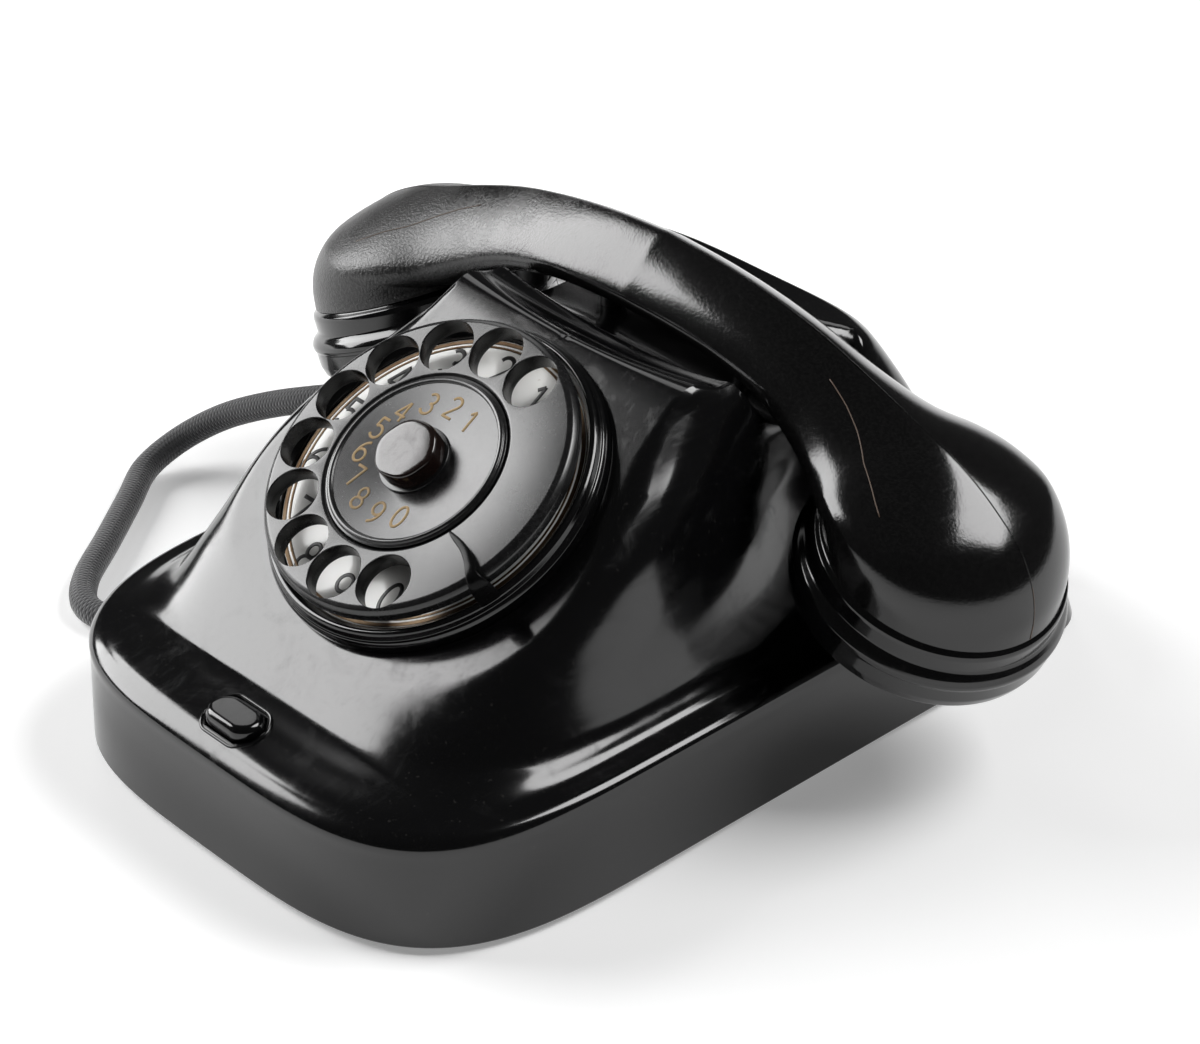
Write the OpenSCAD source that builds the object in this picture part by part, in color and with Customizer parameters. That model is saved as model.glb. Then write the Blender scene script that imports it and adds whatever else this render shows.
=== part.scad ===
// Rotary desk telephone. Millimetres, +Z up, front towards -Y, origin under the middle of the case.

/* [Case] */
// Width of the case at its foot
case_w = 147; // [140:1:156]
// Depth of the case at its foot
case_d = 222; // [214:1:230]
// Thickness of the moulded case
wall = 3; // [2.4:0.2:3.4]
// Height of the case above the table
foot_gap = 1.6; // [1.2:0.2:2]

/* [Dial] */
// Distance of the dial's centre in front of the middle of the case
dial_y = -46.5; // [-48:0.5:-45]
// Height of the dial's centre
dial_z = 76; // [75:0.5:77]
// Tilt of the dial from lying flat, degrees
dial_tilt = 32.2; // [30:0.2:34]
// Radius of the finger wheel
wheel_r = 39; // [38:0.5:39.5]
// Radius of the circle that the finger holes are on
hole_ring_r = 31; // [30.5:0.25:31.5]
// Diameter of a finger hole
finger_hole_d = 13.4; // [12.6:0.2:14]
// Angle of the first finger hole, degrees
first_hole = 68.2; // [66:0.2:70]
// Angle from one finger hole to the next, degrees
hole_step = 25.7; // [25:0.1:26]
// Angle of the finger stop, degrees
stop_angle = -24.3; // [-28:0.1:-22]

/* [Handset] */
// Distance of the handset's axis behind the middle of the case
handset_y = 34; // [33:0.5:35]
// Sideways place of the handset in its cradle
handset_x = -4.5; // [-5:0.5:0]
// Height of the top of the grip
grip_top = 102.4; // [102:0.2:104]
// Tilt of the two end caps, degrees
cap_tilt = 23.4; // [22:0.2:25]

/* [Cord] */
// Diameter of the handset cord
cord_d = 7; // [6:0.5:7]

/* [Hidden] */

BLACK = "#141416";
DARK = "#242428";
STEEL = "#9aa0a6";
BRASS = "#b79a52";
COPPER = "#a8622e";
ENAMEL = "#f1efe6";
PAPER = "#b9ad86";
CLOTH = "#2f3034";

run_gap = 0.05;          // radial clearance of a running fit
cord_r = cord_d / 2;
floor_z = 3.2;           // top of the base plate
foot_r = 9;
post_x = 58;
post_front = -88;
post_rear = 86;

// ---- Outline and levels of the case -------------------------------------------------------------

function spow(c, e) = sign(c) * pow(abs(c), e);
function clamp01(t) = min(1, max(0, t));
function smooth(a, b, t) = let (u = clamp01((t - a) / (b - a))) u * u * (3 - 2 * u);
function soft_min(a, b, k) = let (h = max(k - abs(a - b), 0) / k) min(a, b) - h * h * k / 4;

half_w = case_w / 2;
half_d = case_d / 2;
outer_steps = 12;        // points along a quarter corner of the outline; a straight side has half more
inner_steps = 6;

// One level of the case: height, half width, front edge, rear edge, depth of the side scoops.
LEVELS = [
    [27.2, half_w - 0.9, half_d - 0.8, half_d - 8.5, 0],
    [28.6, half_w - 1.3, half_d - 1.2, half_d - 9.2, 0],
    [29.5, half_w - 2.4, half_d - 2.3, half_d - 10.6, 0],
    [29.9, half_w - 4.0, half_d - 4.0, half_d - 12.5, 0],
    [30.6, half_w - 7.0, half_d - 6.5, half_d - 15.5, 1],
    [32.6, half_w - 9.5, half_d - 9.0, half_d - 18.5, 3],
    [36, half_w - 11.8, half_d - 19.5, half_d - 22.5, 7],
    [42, half_w - 13.4, half_d - 29.5, half_d - 27, 10.7],
    [50, half_w - 15.2, half_d - 35, half_d - 31, 13.3],
    [58, half_w - 17.2, half_d - 38, half_d - 34.5, 13.6],
    [66, half_w - 19.8, half_d - 40.5, half_d - 38, 11.4],
    [74, half_w - 24.0, half_d - 42, half_d - 42, 7],
    [81, half_w - 29.0, half_d - 43, half_d - 46, 2.6],
    [88, half_w - 33.6, half_d - 44, half_d - 51, 0]
];
TOP = LEVELS[len(LEVELS) - 1];

function corner_front(w) = w + 1.2;
function corner_rear(w) = w * 0.36;
// The right half of the outline, from the front round to the rear: a corner, a side and a corner.
function right_side(w, front, rear, steps) = let (
    side_front = -front + corner_front(w),
    side_rear = rear - corner_rear(w),
    side_steps = 1.5 * steps,
    turn = 90 / steps
) concat(
    [
        for (i = [0.5 : steps])
            [w * spow(sin(i * turn), 2 / 3.6), side_front - corner_front(w) * spow(cos(i * turn), 2 / 3.6)]
    ],
    [for (i = [0.5 : side_steps]) [w, side_front + (side_rear - side_front) * i / side_steps]],
    [
        for (i = [0.5 : steps])
            [w * spow(cos(i * turn), 2 / 3), side_rear + corner_rear(w) * spow(sin(i * turn), 2 / 3)]
    ]
);
function outline(w, front, rear, scoop, steps) = let (
    right = right_side(w, front, rear, steps),
    last = len(right) - 1,
    plain = concat(right, [for (i = [last : -1 : 0]) [-right[i][0], right[i][1]]])
) [
    for (p = plain) [p[0] * (1 - scoop * exp(-pow((p[1] - handset_y) / 30, 2)) / w), p[1]]
];

seat_h = -12;            // the dial's seat, measured along the dial's axis
seat_y = dial_y - seat_h * sin(dial_tilt);
seat_z = dial_z + seat_h * cos(dial_tilt);
seat_front = dial_y - 33.5;
trough_half = 19.5;
horn_x = 40;

function seat_plane(y) = seat_z + tan(dial_tilt) * (max(y, seat_front) - seat_y);
// Heights of the cradle's edge and of its trough, which both change towards the four horns.
function to_horn(x) = pow(min(abs(x), 42) / horn_x, 2);
function edge_z(x) = 83.5 + 4.6 * to_horn(x);
function trough_z(x) = 77.6 - 3.4 * to_horn(x);
function cradle_edge(x, y) =
    edge_z(x) + 10 * (1 - smooth(-8, 12, y)) - 2 * smooth(25, 50, y);
function trough(x, y) =
    trough_z(x) + (edge_z(x) + 1 - trough_z(x)) * pow(abs(y - handset_y) / trough_half, 4);
function case_top(x, y, z) =
    soft_min(soft_min(soft_min(z, seat_plane(y), 3), cradle_edge(x, y), 1.6), trough(x, y), 1.6);

function ring_points(level, grow, steps) = let (
    pts = outline(level[1] + grow, level[2] + grow, level[3] + grow, level[4], steps)
) [
    for (p = pts) [p[0], p[1], case_top(p[0], p[1], level[0]) + grow]
];
function lid_points(k, grow, steps) = let (
    middle = (TOP[3] - TOP[2]) / 2,
    pts = outline(TOP[1] + grow, TOP[2] + grow, TOP[3] + grow, 0, steps)
) [
    for (p = pts) let (x = p[0] * k, y = middle + (p[1] - middle) * k) [x, y, case_top(x, y, 96) + grow]
];

function ring_stack(rings) = let (n = len(rings[0]), m = len(rings)) [
    [for (r = rings) for (p = r) p],
    concat(
        [[for (i = [0 : n - 1]) i]],
        [
            for (j = [0 : m - 2]) for (i = [0 : n - 1]) let (k = (i + 1) % n)
                each [[j * n + i, (j + 1) * n + k, j * n + k], [j * n + i, (j + 1) * n + i, (j + 1) * n + k]]
        ],
        [[for (i = [n - 1 : -1 : 0]) (m - 1) * n + i]]
    )
];

module case_solid(grow, bottom, steps) {
    foot = outline(half_w + grow, half_d + grow, half_d + grow, 0, steps);
    rings = concat(
        [[for (p = foot) [p[0], p[1], bottom]]],
        [for (l = LEVELS) ring_points(l, grow, steps)],
        [for (k = [0.94 : -0.06 : 0.03]) lid_points(k, grow, steps)]
    );
    mesh = ring_stack(rings);
    polyhedron(mesh[0], mesh[1], convexity = 6);
}

// ---- Places -------------------------------------------------------------------------------------

module at_dial() {
    translate([0, dial_y, dial_z]) rotate([dial_tilt, 0, 0]) children();
}

module case_posts() {
    for (x = [-post_x, post_x]) {
        translate([x, post_front, floor_z + 0.1]) cylinder(r = 4.5, h = 25.5, $fn = 32);
        translate([x, post_rear, floor_z + 0.1]) cylinder(r = 4.5, h = 24.5, $fn = 32);
    }
}

module at_posts() {
    for (x = [-post_x, post_x]) {
        translate([x, post_front, 0]) children();
        translate([x, post_rear, 0]) children();
    }
}

// ---- Case and base ------------------------------------------------------------------------------

dial_hole_r = 38;
plunger_x = 23;
plunger_r = 2.9;
button_y = -100.5;
button_z = 35.6;
gland_x = -52;
inlet_x = 40;
gland_z = 11;
rear_slope = (LEVELS[0][0] - foot_gap) / (half_d - LEVELS[0][3]);
rear_y = half_d - (gland_z - foot_gap) / rear_slope;
rear_lean = atan(1 / rear_slope);

// Local +Z points straight out of the leaning rear wall.
module at_rear(x) {
    translate([x, rear_y, gland_z]) rotate([rear_lean - 90, 0, 0]) children();
}

module case_shell() {
    color(BLACK) difference() {
        union() {
            difference() {
                case_solid(0, foot_gap, outer_steps);
                case_solid(-wall, foot_gap - 3, inner_steps);
            }
            case_posts();
            for (x = [-plunger_x, plunger_x])
                translate([x, handset_y, 66]) cylinder(r = 5.5, h = 9.4, $fn = 32);
        }
        at_dial() translate([0, 0, seat_h - 14]) cylinder(r = dial_hole_r, h = 40, $fn = 96);
        for (x = [-plunger_x, plunger_x])
            translate([x, handset_y, 60]) cylinder(r = plunger_r + run_gap, h = 30, $fn = 48);
        translate([0, button_y, 20]) button_outline(0.5, 25);
        at_posts() translate([0, 0, floor_z]) cylinder(r = 1.6, h = 15, $fn = 32);
        at_rear(gland_x) translate([0, 0, -10]) cylinder(r = 5.6, h = 20, $fn = 48);
        at_rear(inlet_x) translate([0, 0, -10]) cylinder(r = 5.6, h = 20, $fn = 48);
    }
}

module base_plate() {
    gap = wall + 0.5;
    color(STEEL) difference() {
        translate([0, 0, floor_z - 1.2]) linear_extrude(1.2)
            polygon(outline(half_w - gap, half_d - gap, half_d - gap - 1.5, 0, inner_steps));
        at_posts() cylinder(r = 1.8, h = 10, center = true, $fn = 32);
        for (x = [-54, 54], y = [-70, 70]) translate([x, y, 0]) cylinder(r = 3.1, h = 10, center = true, $fn = 32);
    }
}

module base_screws() {
    color(STEEL) at_posts() {
        translate([0, 0, 0.7]) cylinder(r = 3, h = floor_z - 1.9, $fn = 32);
        translate([0, 0, 0.8]) cylinder(r = 1.5, h = 13, $fn = 32);
    }
}

module rubber_feet() {
    color(DARK) for (x = [-54, 54], y = [-70, 70]) translate([x, y, 0]) {
        cylinder(r1 = foot_r - 1, r2 = foot_r, h = floor_z - 1.2, $fn = 48);
        cylinder(r = 3, h = floor_z + 1.4, $fn = 32);
        translate([0, 0, floor_z]) cylinder(r1 = 4.6, r2 = 3, h = 1.6, $fn = 32);
    }
}

// ---- Dial: fixed pieces -------------------------------------------------------------------------

plate_h = -8.2;          // face of the number plate
frame_h = -9.4;          // top of the frame's front plate
back_h = -34;            // underside of the frame's back plate
shaft_r = 3;

module dial_ring() {
    color(BLACK) at_dial() rotate_extrude($fn = 120) polygon([
        [38.3, seat_h + 0.2], [42.4, seat_h + 0.2], [42.4, -9.4], [41.9, -8.5], [41.4, -8.3],
        [41.2, -6.8], [40.6, -6.2], [39.8, -6.1], [38.3, -7.6]
    ]);
}

module number_plate() {
    color(ENAMEL) at_dial() difference() {
        translate([0, 0, plate_h - 1]) cylinder(r = 38, h = 1, $fn = 96);
        translate([0, 0, plate_h - 2]) cylinder(r = 12, h = 3, $fn = 48);
    }
}

module finger_stop() {
    color(DARK) at_dial() rotate([0, 0, stop_angle]) {
        translate([39.9, -2.6, -5.9]) cube([1.6, 5.2, 8]);
        hull() {
            translate([39.9, -2.6, 1]) cube([1.6, 5.2, 1.1]);
            translate([32, -1.6, 1.4]) cube([2, 3.6, 1]);
        }
        hull() {
            translate([32, -1.6, 1.4]) cube([2, 3.6, 1]);
            translate([25, 0, 0.9]) cylinder(r = 1.5, h = 0.9, $fn = 24);
        }
    }
}

gear_train = 200;        // direction of the gear train from the shaft, degrees
spindle_d = 20.4;        // shaft to spindle
worm_d = 29.2;           // shaft to worm
train_h = -22.5;         // level of the worm

module at_train() {
    at_dial() rotate([0, 0, gear_train]) children();
}

module dial_frame() {
    color(STEEL) difference() {
        union() {
            at_dial() translate([0, 0, frame_h - 2.6]) cylinder(r = 37.6, h = 2.6, $fn = 96);
            at_dial() translate([0, 0, frame_h - 7]) cylinder(r = 6, h = 7, $fn = 48);
            at_dial() translate([0, 0, back_h]) cylinder(r = 34, h = 1.6, $fn = 96);
            at_dial() for (a = [70, 150, 320])
                rotate([0, 0, a]) translate([31, 0, back_h + 1]) cylinder(r = 2.4, h = 22.4, $fn = 32);
            for (y = [-8.6, 17.4]) at_train()
                translate([worm_d - 3, y - 0.8, train_h - 3]) cube([6, 1.6, frame_h - train_h + 1]);
        }
        at_dial() translate([0, 0, -40]) cylinder(r = shaft_r + run_gap, h = 40, $fn = 48);
        at_train() translate([spindle_d, 0, -36]) cylinder(r = 1.25, h = 28, $fn = 32);
        at_train() translate([worm_d, -20, train_h]) rotate([-90, 0, 0]) cylinder(r = 0.85, h = 50, $fn = 32);
    }
}

module governor_cup() {
    color(BRASS) at_train() translate([worm_d, 8.6, train_h]) rotate([-90, 0, 0]) difference() {
        union() {
            cylinder(r = 5.2, h = 7, $fn = 48);
            translate([-2, 2, 0]) cube([4, 7.9, 1.2]);
        }
        translate([0, 0, -1]) cylinder(r = 4.5, h = 9, $fn = 48);
    }
}

module impulse_contacts() {
    color(BRASS) at_train() {
        translate([spindle_d - 9, -17.5, back_h + 1.7]) cube([18, 5, 4]);
        for (x = [-5, -1.6, 1.8]) translate([spindle_d + 7.6 + x / 3, -16 + x, back_h + 5.8]) cube([0.5, 15, 2]);
    }
}

// ---- Dial: turning pieces -----------------------------------------------------------------------

module finger_wheel() {
    color(BLACK) at_dial() difference() {
        rotate_extrude($fn = 144) polygon([
            [shaft_r + 1.4, -3.6], [23, -3.6], [23, -4.4], [38.2, -4.6], [39, -3.6], [39, -1.6],
            [38.3, -0.5], [37.2, 0], [23.4, 0], [22.6, -0.6], [22.6, -1.6], [shaft_r + 1.4, -1.6]
        ]);
        for (i = [0 : 9]) rotate([0, 0, first_hole + i * hole_step])
            translate([hole_ring_r, 0, -6]) cylinder(d = finger_hole_d, h = 8, $fn = 48);
    }
}

module number_disc() {
    color(BLACK) at_dial() rotate_extrude($fn = 96) polygon([
        [shaft_r, -1.6], [22.2, -1.6], [22.2, 1.1], [21.6, 1.7], [20.6, 1.7], [20.2, 1.3], [shaft_r, 1.3]
    ]);
}

module center_knob() {
    color(BLACK) at_dial() difference() {
        union() {
            translate([0, 0, 1.3]) cylinder(r = 9, h = 0.6, $fn = 48);
            rotate([0, 0, 8]) translate([0, 0, 1.8]) cylinder(r = 8.2, h = 3.6, $fn = 6);
        }
        cylinder(r = shaft_r, h = 3, $fn = 48);
    }
}

module dial_shaft() {
    color(STEEL) at_dial() {
        translate([0, 0, back_h - 1.5]) cylinder(r = shaft_r, h = 1.5 - back_h + 3, $fn = 48);
        translate([0, 0, -3.6]) cylinder(r = shaft_r + 1.4, h = 2, $fn = 48);
        translate([0, 0, -7.8]) cylinder(r = 5, h = 4.2, $fn = 48);
    }
}

function gear_outline(teeth, r_tip, depth) = [
    for (i = [0 : teeth - 1]) for (k = [[0, 0], [0.2, 1], [0.5, 1], [0.7, 0]])
        let (a = 360 * (i + k[0]) / teeth, r = r_tip - depth * (1 - k[1]))
        [r * cos(a), r * sin(a)]
];

module main_gear() {
    color(BRASS) at_dial() difference() {
        translate([0, 0, -18.6]) linear_extrude(1.4) polygon(gear_outline(48, 16, 0.9));
        translate([0, 0, -20]) cylinder(r = shaft_r, h = 4, $fn = 48);
        for (a = [0 : 90 : 270]) rotate([0, 0, a]) translate([9, 0, -20]) cylinder(r = 3, h = 4, $fn = 32);
    }
}

module dial_spring() {
    turns = 5;
    steps = turns * 16;
    inner = 3.4;
    pitch = 1.4;
    strip = 0.5;
    color(STEEL) at_dial() translate([0, 0, -30.8]) linear_extrude(3.4) polygon(concat(
        [for (i = [0 : steps]) (inner + pitch * i / 16) * [cos(22.5 * i), sin(22.5 * i)]],
        [for (i = [steps : -1 : 0]) (inner + strip + pitch * i / 16) * [cos(22.5 * i), sin(22.5 * i)]]
    ));
}

module speed_gear() {
    color(BRASS) at_train() translate([spindle_d, 0, 0]) {
        translate([0, 0, back_h - 0.6]) cylinder(r = 1.2, h = 24, $fn = 32);
        translate([0, 0, -19]) linear_extrude(2.2) polygon(gear_outline(12, 4, 0.8));
        translate([0, 0, train_h - 1]) linear_extrude(2) polygon(gear_outline(24, 6.6, 0.7));
    }
}

module impulse_cam() {
    color(DARK) at_train() translate([spindle_d, 0, -28]) difference() {
        union() {
            cylinder(r = 3.6, h = 1.6, $fn = 32);
            for (a = [0, 120, 240]) rotate([0, 0, a]) translate([3.6, 0, 0]) cylinder(r = 1.4, h = 1.6, $fn = 24);
        }
        translate([0, 0, -1]) cylinder(r = 1.2, h = 4, $fn = 32);
    }
}

module governor() {
    color(STEEL) at_train() translate([worm_d, -9.6, train_h]) rotate([-90, 0, 0]) {
        cylinder(r = 0.8, h = 28, $fn = 24);
        translate([0, 0, 3.6]) cylinder(r = 1.8, h = 12, $fn = 32);
        for (s = [-1, 1]) translate([s * 2.6, 0, 19]) cylinder(r = 1.4, h = 4.8, $fn = 24);
        translate([-3.2, -0.5, 18.4]) cube([6.4, 1, 1]);
    }
}

// ---- Hook switch --------------------------------------------------------------------------------

lever_y = 9;
lever_z = 50;
plunger_top = 81;
plunger_low = 58;

module plunger() {
    translate([0, 0, plunger_low]) cylinder(r = plunger_r, h = plunger_top - plunger_low - 1, $fn = 48);
    translate([0, 0, plunger_top - 1]) cylinder(r1 = plunger_r, r2 = plunger_r - 0.9, h = 1, $fn = 48);
    translate([0, 0, plunger_low]) cylinder(r = 4.4, h = 2, $fn = 48);
}

module plunger_left() {
    color(DARK) translate([-plunger_x, handset_y, 0]) plunger();
}

module plunger_right() {
    color(DARK) translate([plunger_x, handset_y, 0]) plunger();
}

module hook_bracket() {
    color(STEEL) difference() {
        union() {
            translate([-30, lever_y - 6, floor_z]) cube([60, 10, 1.4]);
            for (x = [-30, 28.4]) translate([x, lever_y - 4, floor_z]) cube([1.6, 8, lever_z]);
        }
        translate([-40, lever_y, lever_z]) rotate([0, 90, 0]) cylinder(r = 1.5, h = 80, $fn = 32);
    }
}

module hook_axle() {
    color(STEEL) translate([-31, lever_y, lever_z]) rotate([0, 90, 0]) cylinder(r = 1.5, h = 62, $fn = 32);
}

module hook_lever() {
    color(STEEL) difference() {
        union() {
            translate([-28, lever_y, lever_z]) rotate([0, 90, 0]) cylinder(r = 3, h = 56, $fn = 48);
            for (x = [-plunger_x, plunger_x]) {
                translate([x - 4, lever_y, lever_z + 1]) cube([8, 28, 1.6]);
                translate([x - 4, handset_y - 4, lever_z + 1]) cube([8, 8, plunger_low - lever_z - 1.4]);
            }
            translate([-4, lever_y - 2, lever_z - 14]) cube([8, 1.6, 13]);
        }
        translate([-40, lever_y, lever_z]) rotate([0, 90, 0]) cylinder(r = 1.55, h = 80, $fn = 32);
    }
}

module hook_contacts() {
    color(BRASS) {
        translate([-8, lever_y + 2, floor_z + 1.5]) cube([16, 2, 8]);
        for (i = [0 : 3]) translate([-7 + 4 * i, lever_y + 4.4, floor_z + 1.5]) cube([2.4, 0.5, 34]);
    }
    color(DARK) translate([-8, lever_y + 4.9, floor_z + 1.5]) cube([16, 3, 8]);
}

// ---- Front button -------------------------------------------------------------------------------

button_half = 7.6;
button_r = 4.6;

module button_outline(grow, h) {
    linear_extrude(h) union() {
        square([2 * (button_half - button_r), 2 * (button_r + grow)], center = true);
        for (s = [-1, 1]) translate([s * (button_half - button_r), 0]) rotate(22.5)
            circle(r = (button_r + grow) / cos(22.5), $fn = 8);
    }
}

module front_button() {
    color(BLACK) {
        translate([0, button_y, 26]) button_outline(0, button_z - 26);
        translate([0, button_y, 12]) cylinder(r = 2, h = 14.5, $fn = 32);
        translate([-8.6, button_y - 4.4, 24.4]) cube([17.2, 9.4, 1.6]);
    }
}

module button_spring() {
    turns = 5;
    rise = 1.7;
    helix = [for (i = [0 : 12 * turns]) [3.2 * cos(30 * i), 3.2 * sin(30 * i), rise * i / 12]];
    color(STEEL) translate([0, button_y, 15.2]) sweep_tube(helix, 0.4, 6, 1);
}

module button_contacts() {
    color(BRASS) difference() {
        union() {
            translate([-9, button_y - 4, 12.6]) cube([18, 14, 2]);
            translate([-9, button_y + 8, floor_z]) cube([18, 2, 10]);
            translate([-2, button_y - 4, 8.4]) cube([4, 13, 0.5]);
        }
        translate([0, button_y, 10]) cylinder(r = 2.05, h = 6, $fn = 32);
    }
}

// ---- Ringer -------------------------------------------------------------------------------------

gong_x = 26.4;
gong_y = 62;
gong_z = 17;
gong_r = 22;
clapper_y = 36;

module ringer_frame() {
    color(STEEL) difference() {
        union() {
            translate([-36, 18, floor_z]) cube([72, 52, 1.4]);
            for (s = [-1, 1]) translate([s * gong_x, gong_y, floor_z]) cylinder(r = 3.5, h = gong_z + 8 - floor_z, $fn = 32);
            translate([-4, clapper_y - 4, floor_z]) cube([8, 8, 9]);
        }
        for (s = [-1, 1]) translate([s * gong_x, gong_y, 10]) cylinder(r = 1.6, h = 40, $fn = 32);
        translate([0, clapper_y, 6]) cylinder(r = 1.5, h = 20, $fn = 32);
    }
}

module ringer_coils() {
    color(COPPER) for (s = [-1, 1]) translate([s * 10.5, 23, 14]) {
        translate([0, -1.4, 0]) rotate([90, 0, 0]) cylinder(r = 7.4, h = 1.2, $fn = 48);
        rotate([90, 0, 0]) translate([0, 0, -5]) cylinder(r = 6.6, h = 5.2, $fn = 48);
        translate([0, 6.2, 0]) rotate([90, 0, 0]) cylinder(r = 7.4, h = 1.2, $fn = 48);
    }
}

module ringer_yoke() {
    color(STEEL) translate([-18, 18.4, floor_z + 1.5]) cube([36, 2, 20]);
}

module clapper_pin() {
    color(STEEL) translate([0, clapper_y, 6.5]) cylinder(r = 1.5, h = 13, $fn = 32);
}

module clapper() {
    color(BRASS) difference() {
        union() {
            translate([0, clapper_y, 12.6]) cylinder(r = 3.4, h = 4.4, $fn = 32);
            translate([-12, clapper_y - 5.4, 12.6]) cube([24, 3.6, 4.4]);
            translate([-0.6, clapper_y + 2, 14.2]) cube([1.2, gong_y - clapper_y - 3, 1.2]);
            translate([0, gong_y, 14.8]) sphere(r = 2.2, $fn = 32);
        }
        translate([0, clapper_y, 10]) cylinder(r = 1.55, h = 10, $fn = 32);
    }
}

module gong() {
    rotate_extrude($fn = 96) polygon([
        [1.7, 8], [9, 7.6], [16, 5.8], [20.4, 2], [22, -5], [20.6, -5], [19, 1.2], [15, 4.4], [9, 6.2], [1.7, 6.6]
    ]);
}

module gong_left() {
    color(STEEL) translate([-gong_x, gong_y, gong_z + 1.5]) gong();
}

module gong_right() {
    color(STEEL) translate([gong_x, gong_y, gong_z + 1.5]) gong();
}

module gong_screws() {
    color(BRASS) for (s = [-1, 1]) translate([s * gong_x, gong_y, 0]) {
        translate([0, 0, 13]) cylinder(r = 1.6, h = 13, $fn = 32);
        translate([0, 0, gong_z + 9.6]) cylinder(r = 3.4, h = 2.2, $fn = 32);
    }
}

// ---- Electrical pieces --------------------------------------------------------------------------

module induction_coil() {
    color(PAPER) translate([0, 0, floor_z]) {
        translate([-52, -30, 0]) cube([3, 18, 18]);
        translate([-49, -21, 9]) rotate([0, 90, 0]) cylinder(r = 8, h = 26, $fn = 48);
        translate([-23, -30, 0]) cube([3, 18, 18]);
    }
}

module capacitor() {
    color(STEEL) {
        translate([18, -34, floor_z]) cube([34, 26, 20]);
        for (x = [26, 42]) translate([x, -21, floor_z + 20]) cylinder(r = 1.5, h = 4, $fn = 24);
    }
}

module terminal_block() {
    color(DARK) difference() {
        translate([-44, -74, floor_z]) cube([88, 14, 9]);
        for (i = [0 : 6]) translate([-36 + 12 * i, -67, floor_z + 4]) cylinder(r = 2, h = 8, $fn = 24);
    }
}

module line_inlet() {
    color(DARK) at_rear(inlet_x) difference() {
        union() {
            translate([0, 0, 0.1]) cylinder(r = 7, h = 2, $fn = 48);
            translate([0, 0, -7]) cylinder(r = 5.5, h = 8, $fn = 48);
        }
        translate([0, 0, -8]) cylinder(r = 3, h = 12, $fn = 48);
    }
}

relief_tip = 8;

module cord_gland_case() {
    color(DARK) at_rear(gland_x) difference() {
        union() {
            translate([0, 0, -7]) cylinder(r = 5.5, h = 8, $fn = 48);
            translate([0, 0, 0.1]) cylinder(r = 7, h = 2, $fn = 48);
            translate([0, 0, 2]) cylinder(r1 = 5.4, r2 = 4.3, h = relief_tip - 2, $fn = 48);
        }
        translate([0, 0, -8]) cylinder(r = 2, h = 20, $fn = 48);
    }
}

// ---- Handset ------------------------------------------------------------------------------------

// Half of the handset body, station by station: inner point, outer point (distance from the middle,
// height under the top of the grip), half width.
STATIONS = [
    [0, 19, 0, 0, 13.5],
    [14, 19.4, 15, 0.9, 13.4],
    [27.2, 20.7, 30, 2.7, 13.4],
    [44, 25.3, 50, 6.8, 14.2],
    [53.5, 30, 63, 11, 16],
    [60.5, 34.3, 78, 16.6, 19.5],
    [62.8, 34.8, 92, 21.8, 23.4],
    [63.6, 34.8, 104, 29, 26.4],
    [64, 34.8, 112.5, 37, 28],
    [64, 34.8, 116.4, 45.5, 28.6],
    [63.9, 34.7, 117, 52, 28.7],
    [63.5, 34.7, 116.2, 57.5, 28.7]
];
ring_x = 89.8;           // cap joint: distance from the handset's middle
ring_z = 56.3;           // cap joint: height
section_steps = 32;

// The section is peaked along the top of the grip and turns round towards the cap.
function station_ring(s, side) = let (
    inner = [s[0] * side, grip_top - s[1]],
    outer = [s[2] * side, grip_top - s[3]],
    end = clamp01((s[2] - 60) / 50),
    low = 0.57 - 0.07 * end,
    mid = outer + (inner - outer) * low
) [
    for (i = [0 : section_steps - 1])
        let (
            a = 360 * i / section_steps,
            top = sin(a) > 0,
            u = spow(cos(a), top ? 1.67 - 0.67 * end : 0.87 + 0.13 * end),
            v = spow(sin(a), top ? 1.43 - 0.43 * end : 0.87 + 0.13 * end),
            half = (outer - inner) * (top ? low : 1 - low)
        )
        [mid[0] + half[0] * v, s[4] * u * side, mid[1] + half[1] * v]
];

module at_handset() {
    translate([handset_x, handset_y, 0]) children();
}

module body_half(side) {
    mesh = ring_stack([for (s = STATIONS) station_ring(s, side)]);
    polyhedron(mesh[0], mesh[1], convexity = 4);
}

// Local +Z of a cap's frame points down and inwards, away from the handset body.
module at_cap(side) {
    at_handset() translate([side * ring_x, 0, ring_z]) rotate([0, side * (180 + cap_tilt), 0]) children();
}

module handset_body() {
    color(BLACK) difference() {
        union() {
            at_handset() body_half(1);
            at_handset() body_half(-1);
        }
        for (side = [-1, 1]) at_cap(side) {
            translate([0, 0, -3]) cylinder(r = 23.6, h = 10, $fn = 64);
            translate([0, 0, -9]) cylinder(r = 16.5, h = 12, $fn = 64);
        }
        translate([gland_x, handset_y, 60]) cylinder(r = cord_r + 0.8, h = 24, $fn = 32);
    }
}

module end_cap(face_r, holes) {
    difference() {
        rotate_extrude($fn = 96) polygon([
            [24.4, 0.1], [28.4, 0.1], [28.6, 0.5], [29.6, 1], [30, 2], [30, 5.6], [30.4, 6.2], [31.6, 7.2],
            [32.3, 8.4], [32.3, 9.6], [31.9, 10.2], [31.9, 14], [31.2, 16.4], [29.4, 18.2], [26.8, 18.8],
            [face_r, 18], [0, 17.4], [0, 14.6], [face_r, 15], [26, 14], [27, 10], [24.4, 8]
        ]);
        for (h = holes) rotate([0, 0, h[1]]) translate([h[0], 0, 10]) cylinder(r = 1.5, h = 12, $fn = 24);
    }
}

mouth_holes = concat([[0, 0]], [for (i = [0 : 5]) [7, 60 * i]], [for (i = [0 : 11]) [14, 30 * i]]);
ear_holes = concat([[0, 0]], [for (i = [0 : 5]) [8, 60 * i]]);

module mouthpiece_cap() {
    color(BLACK) at_cap(-1) end_cap(20, mouth_holes);
}

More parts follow.
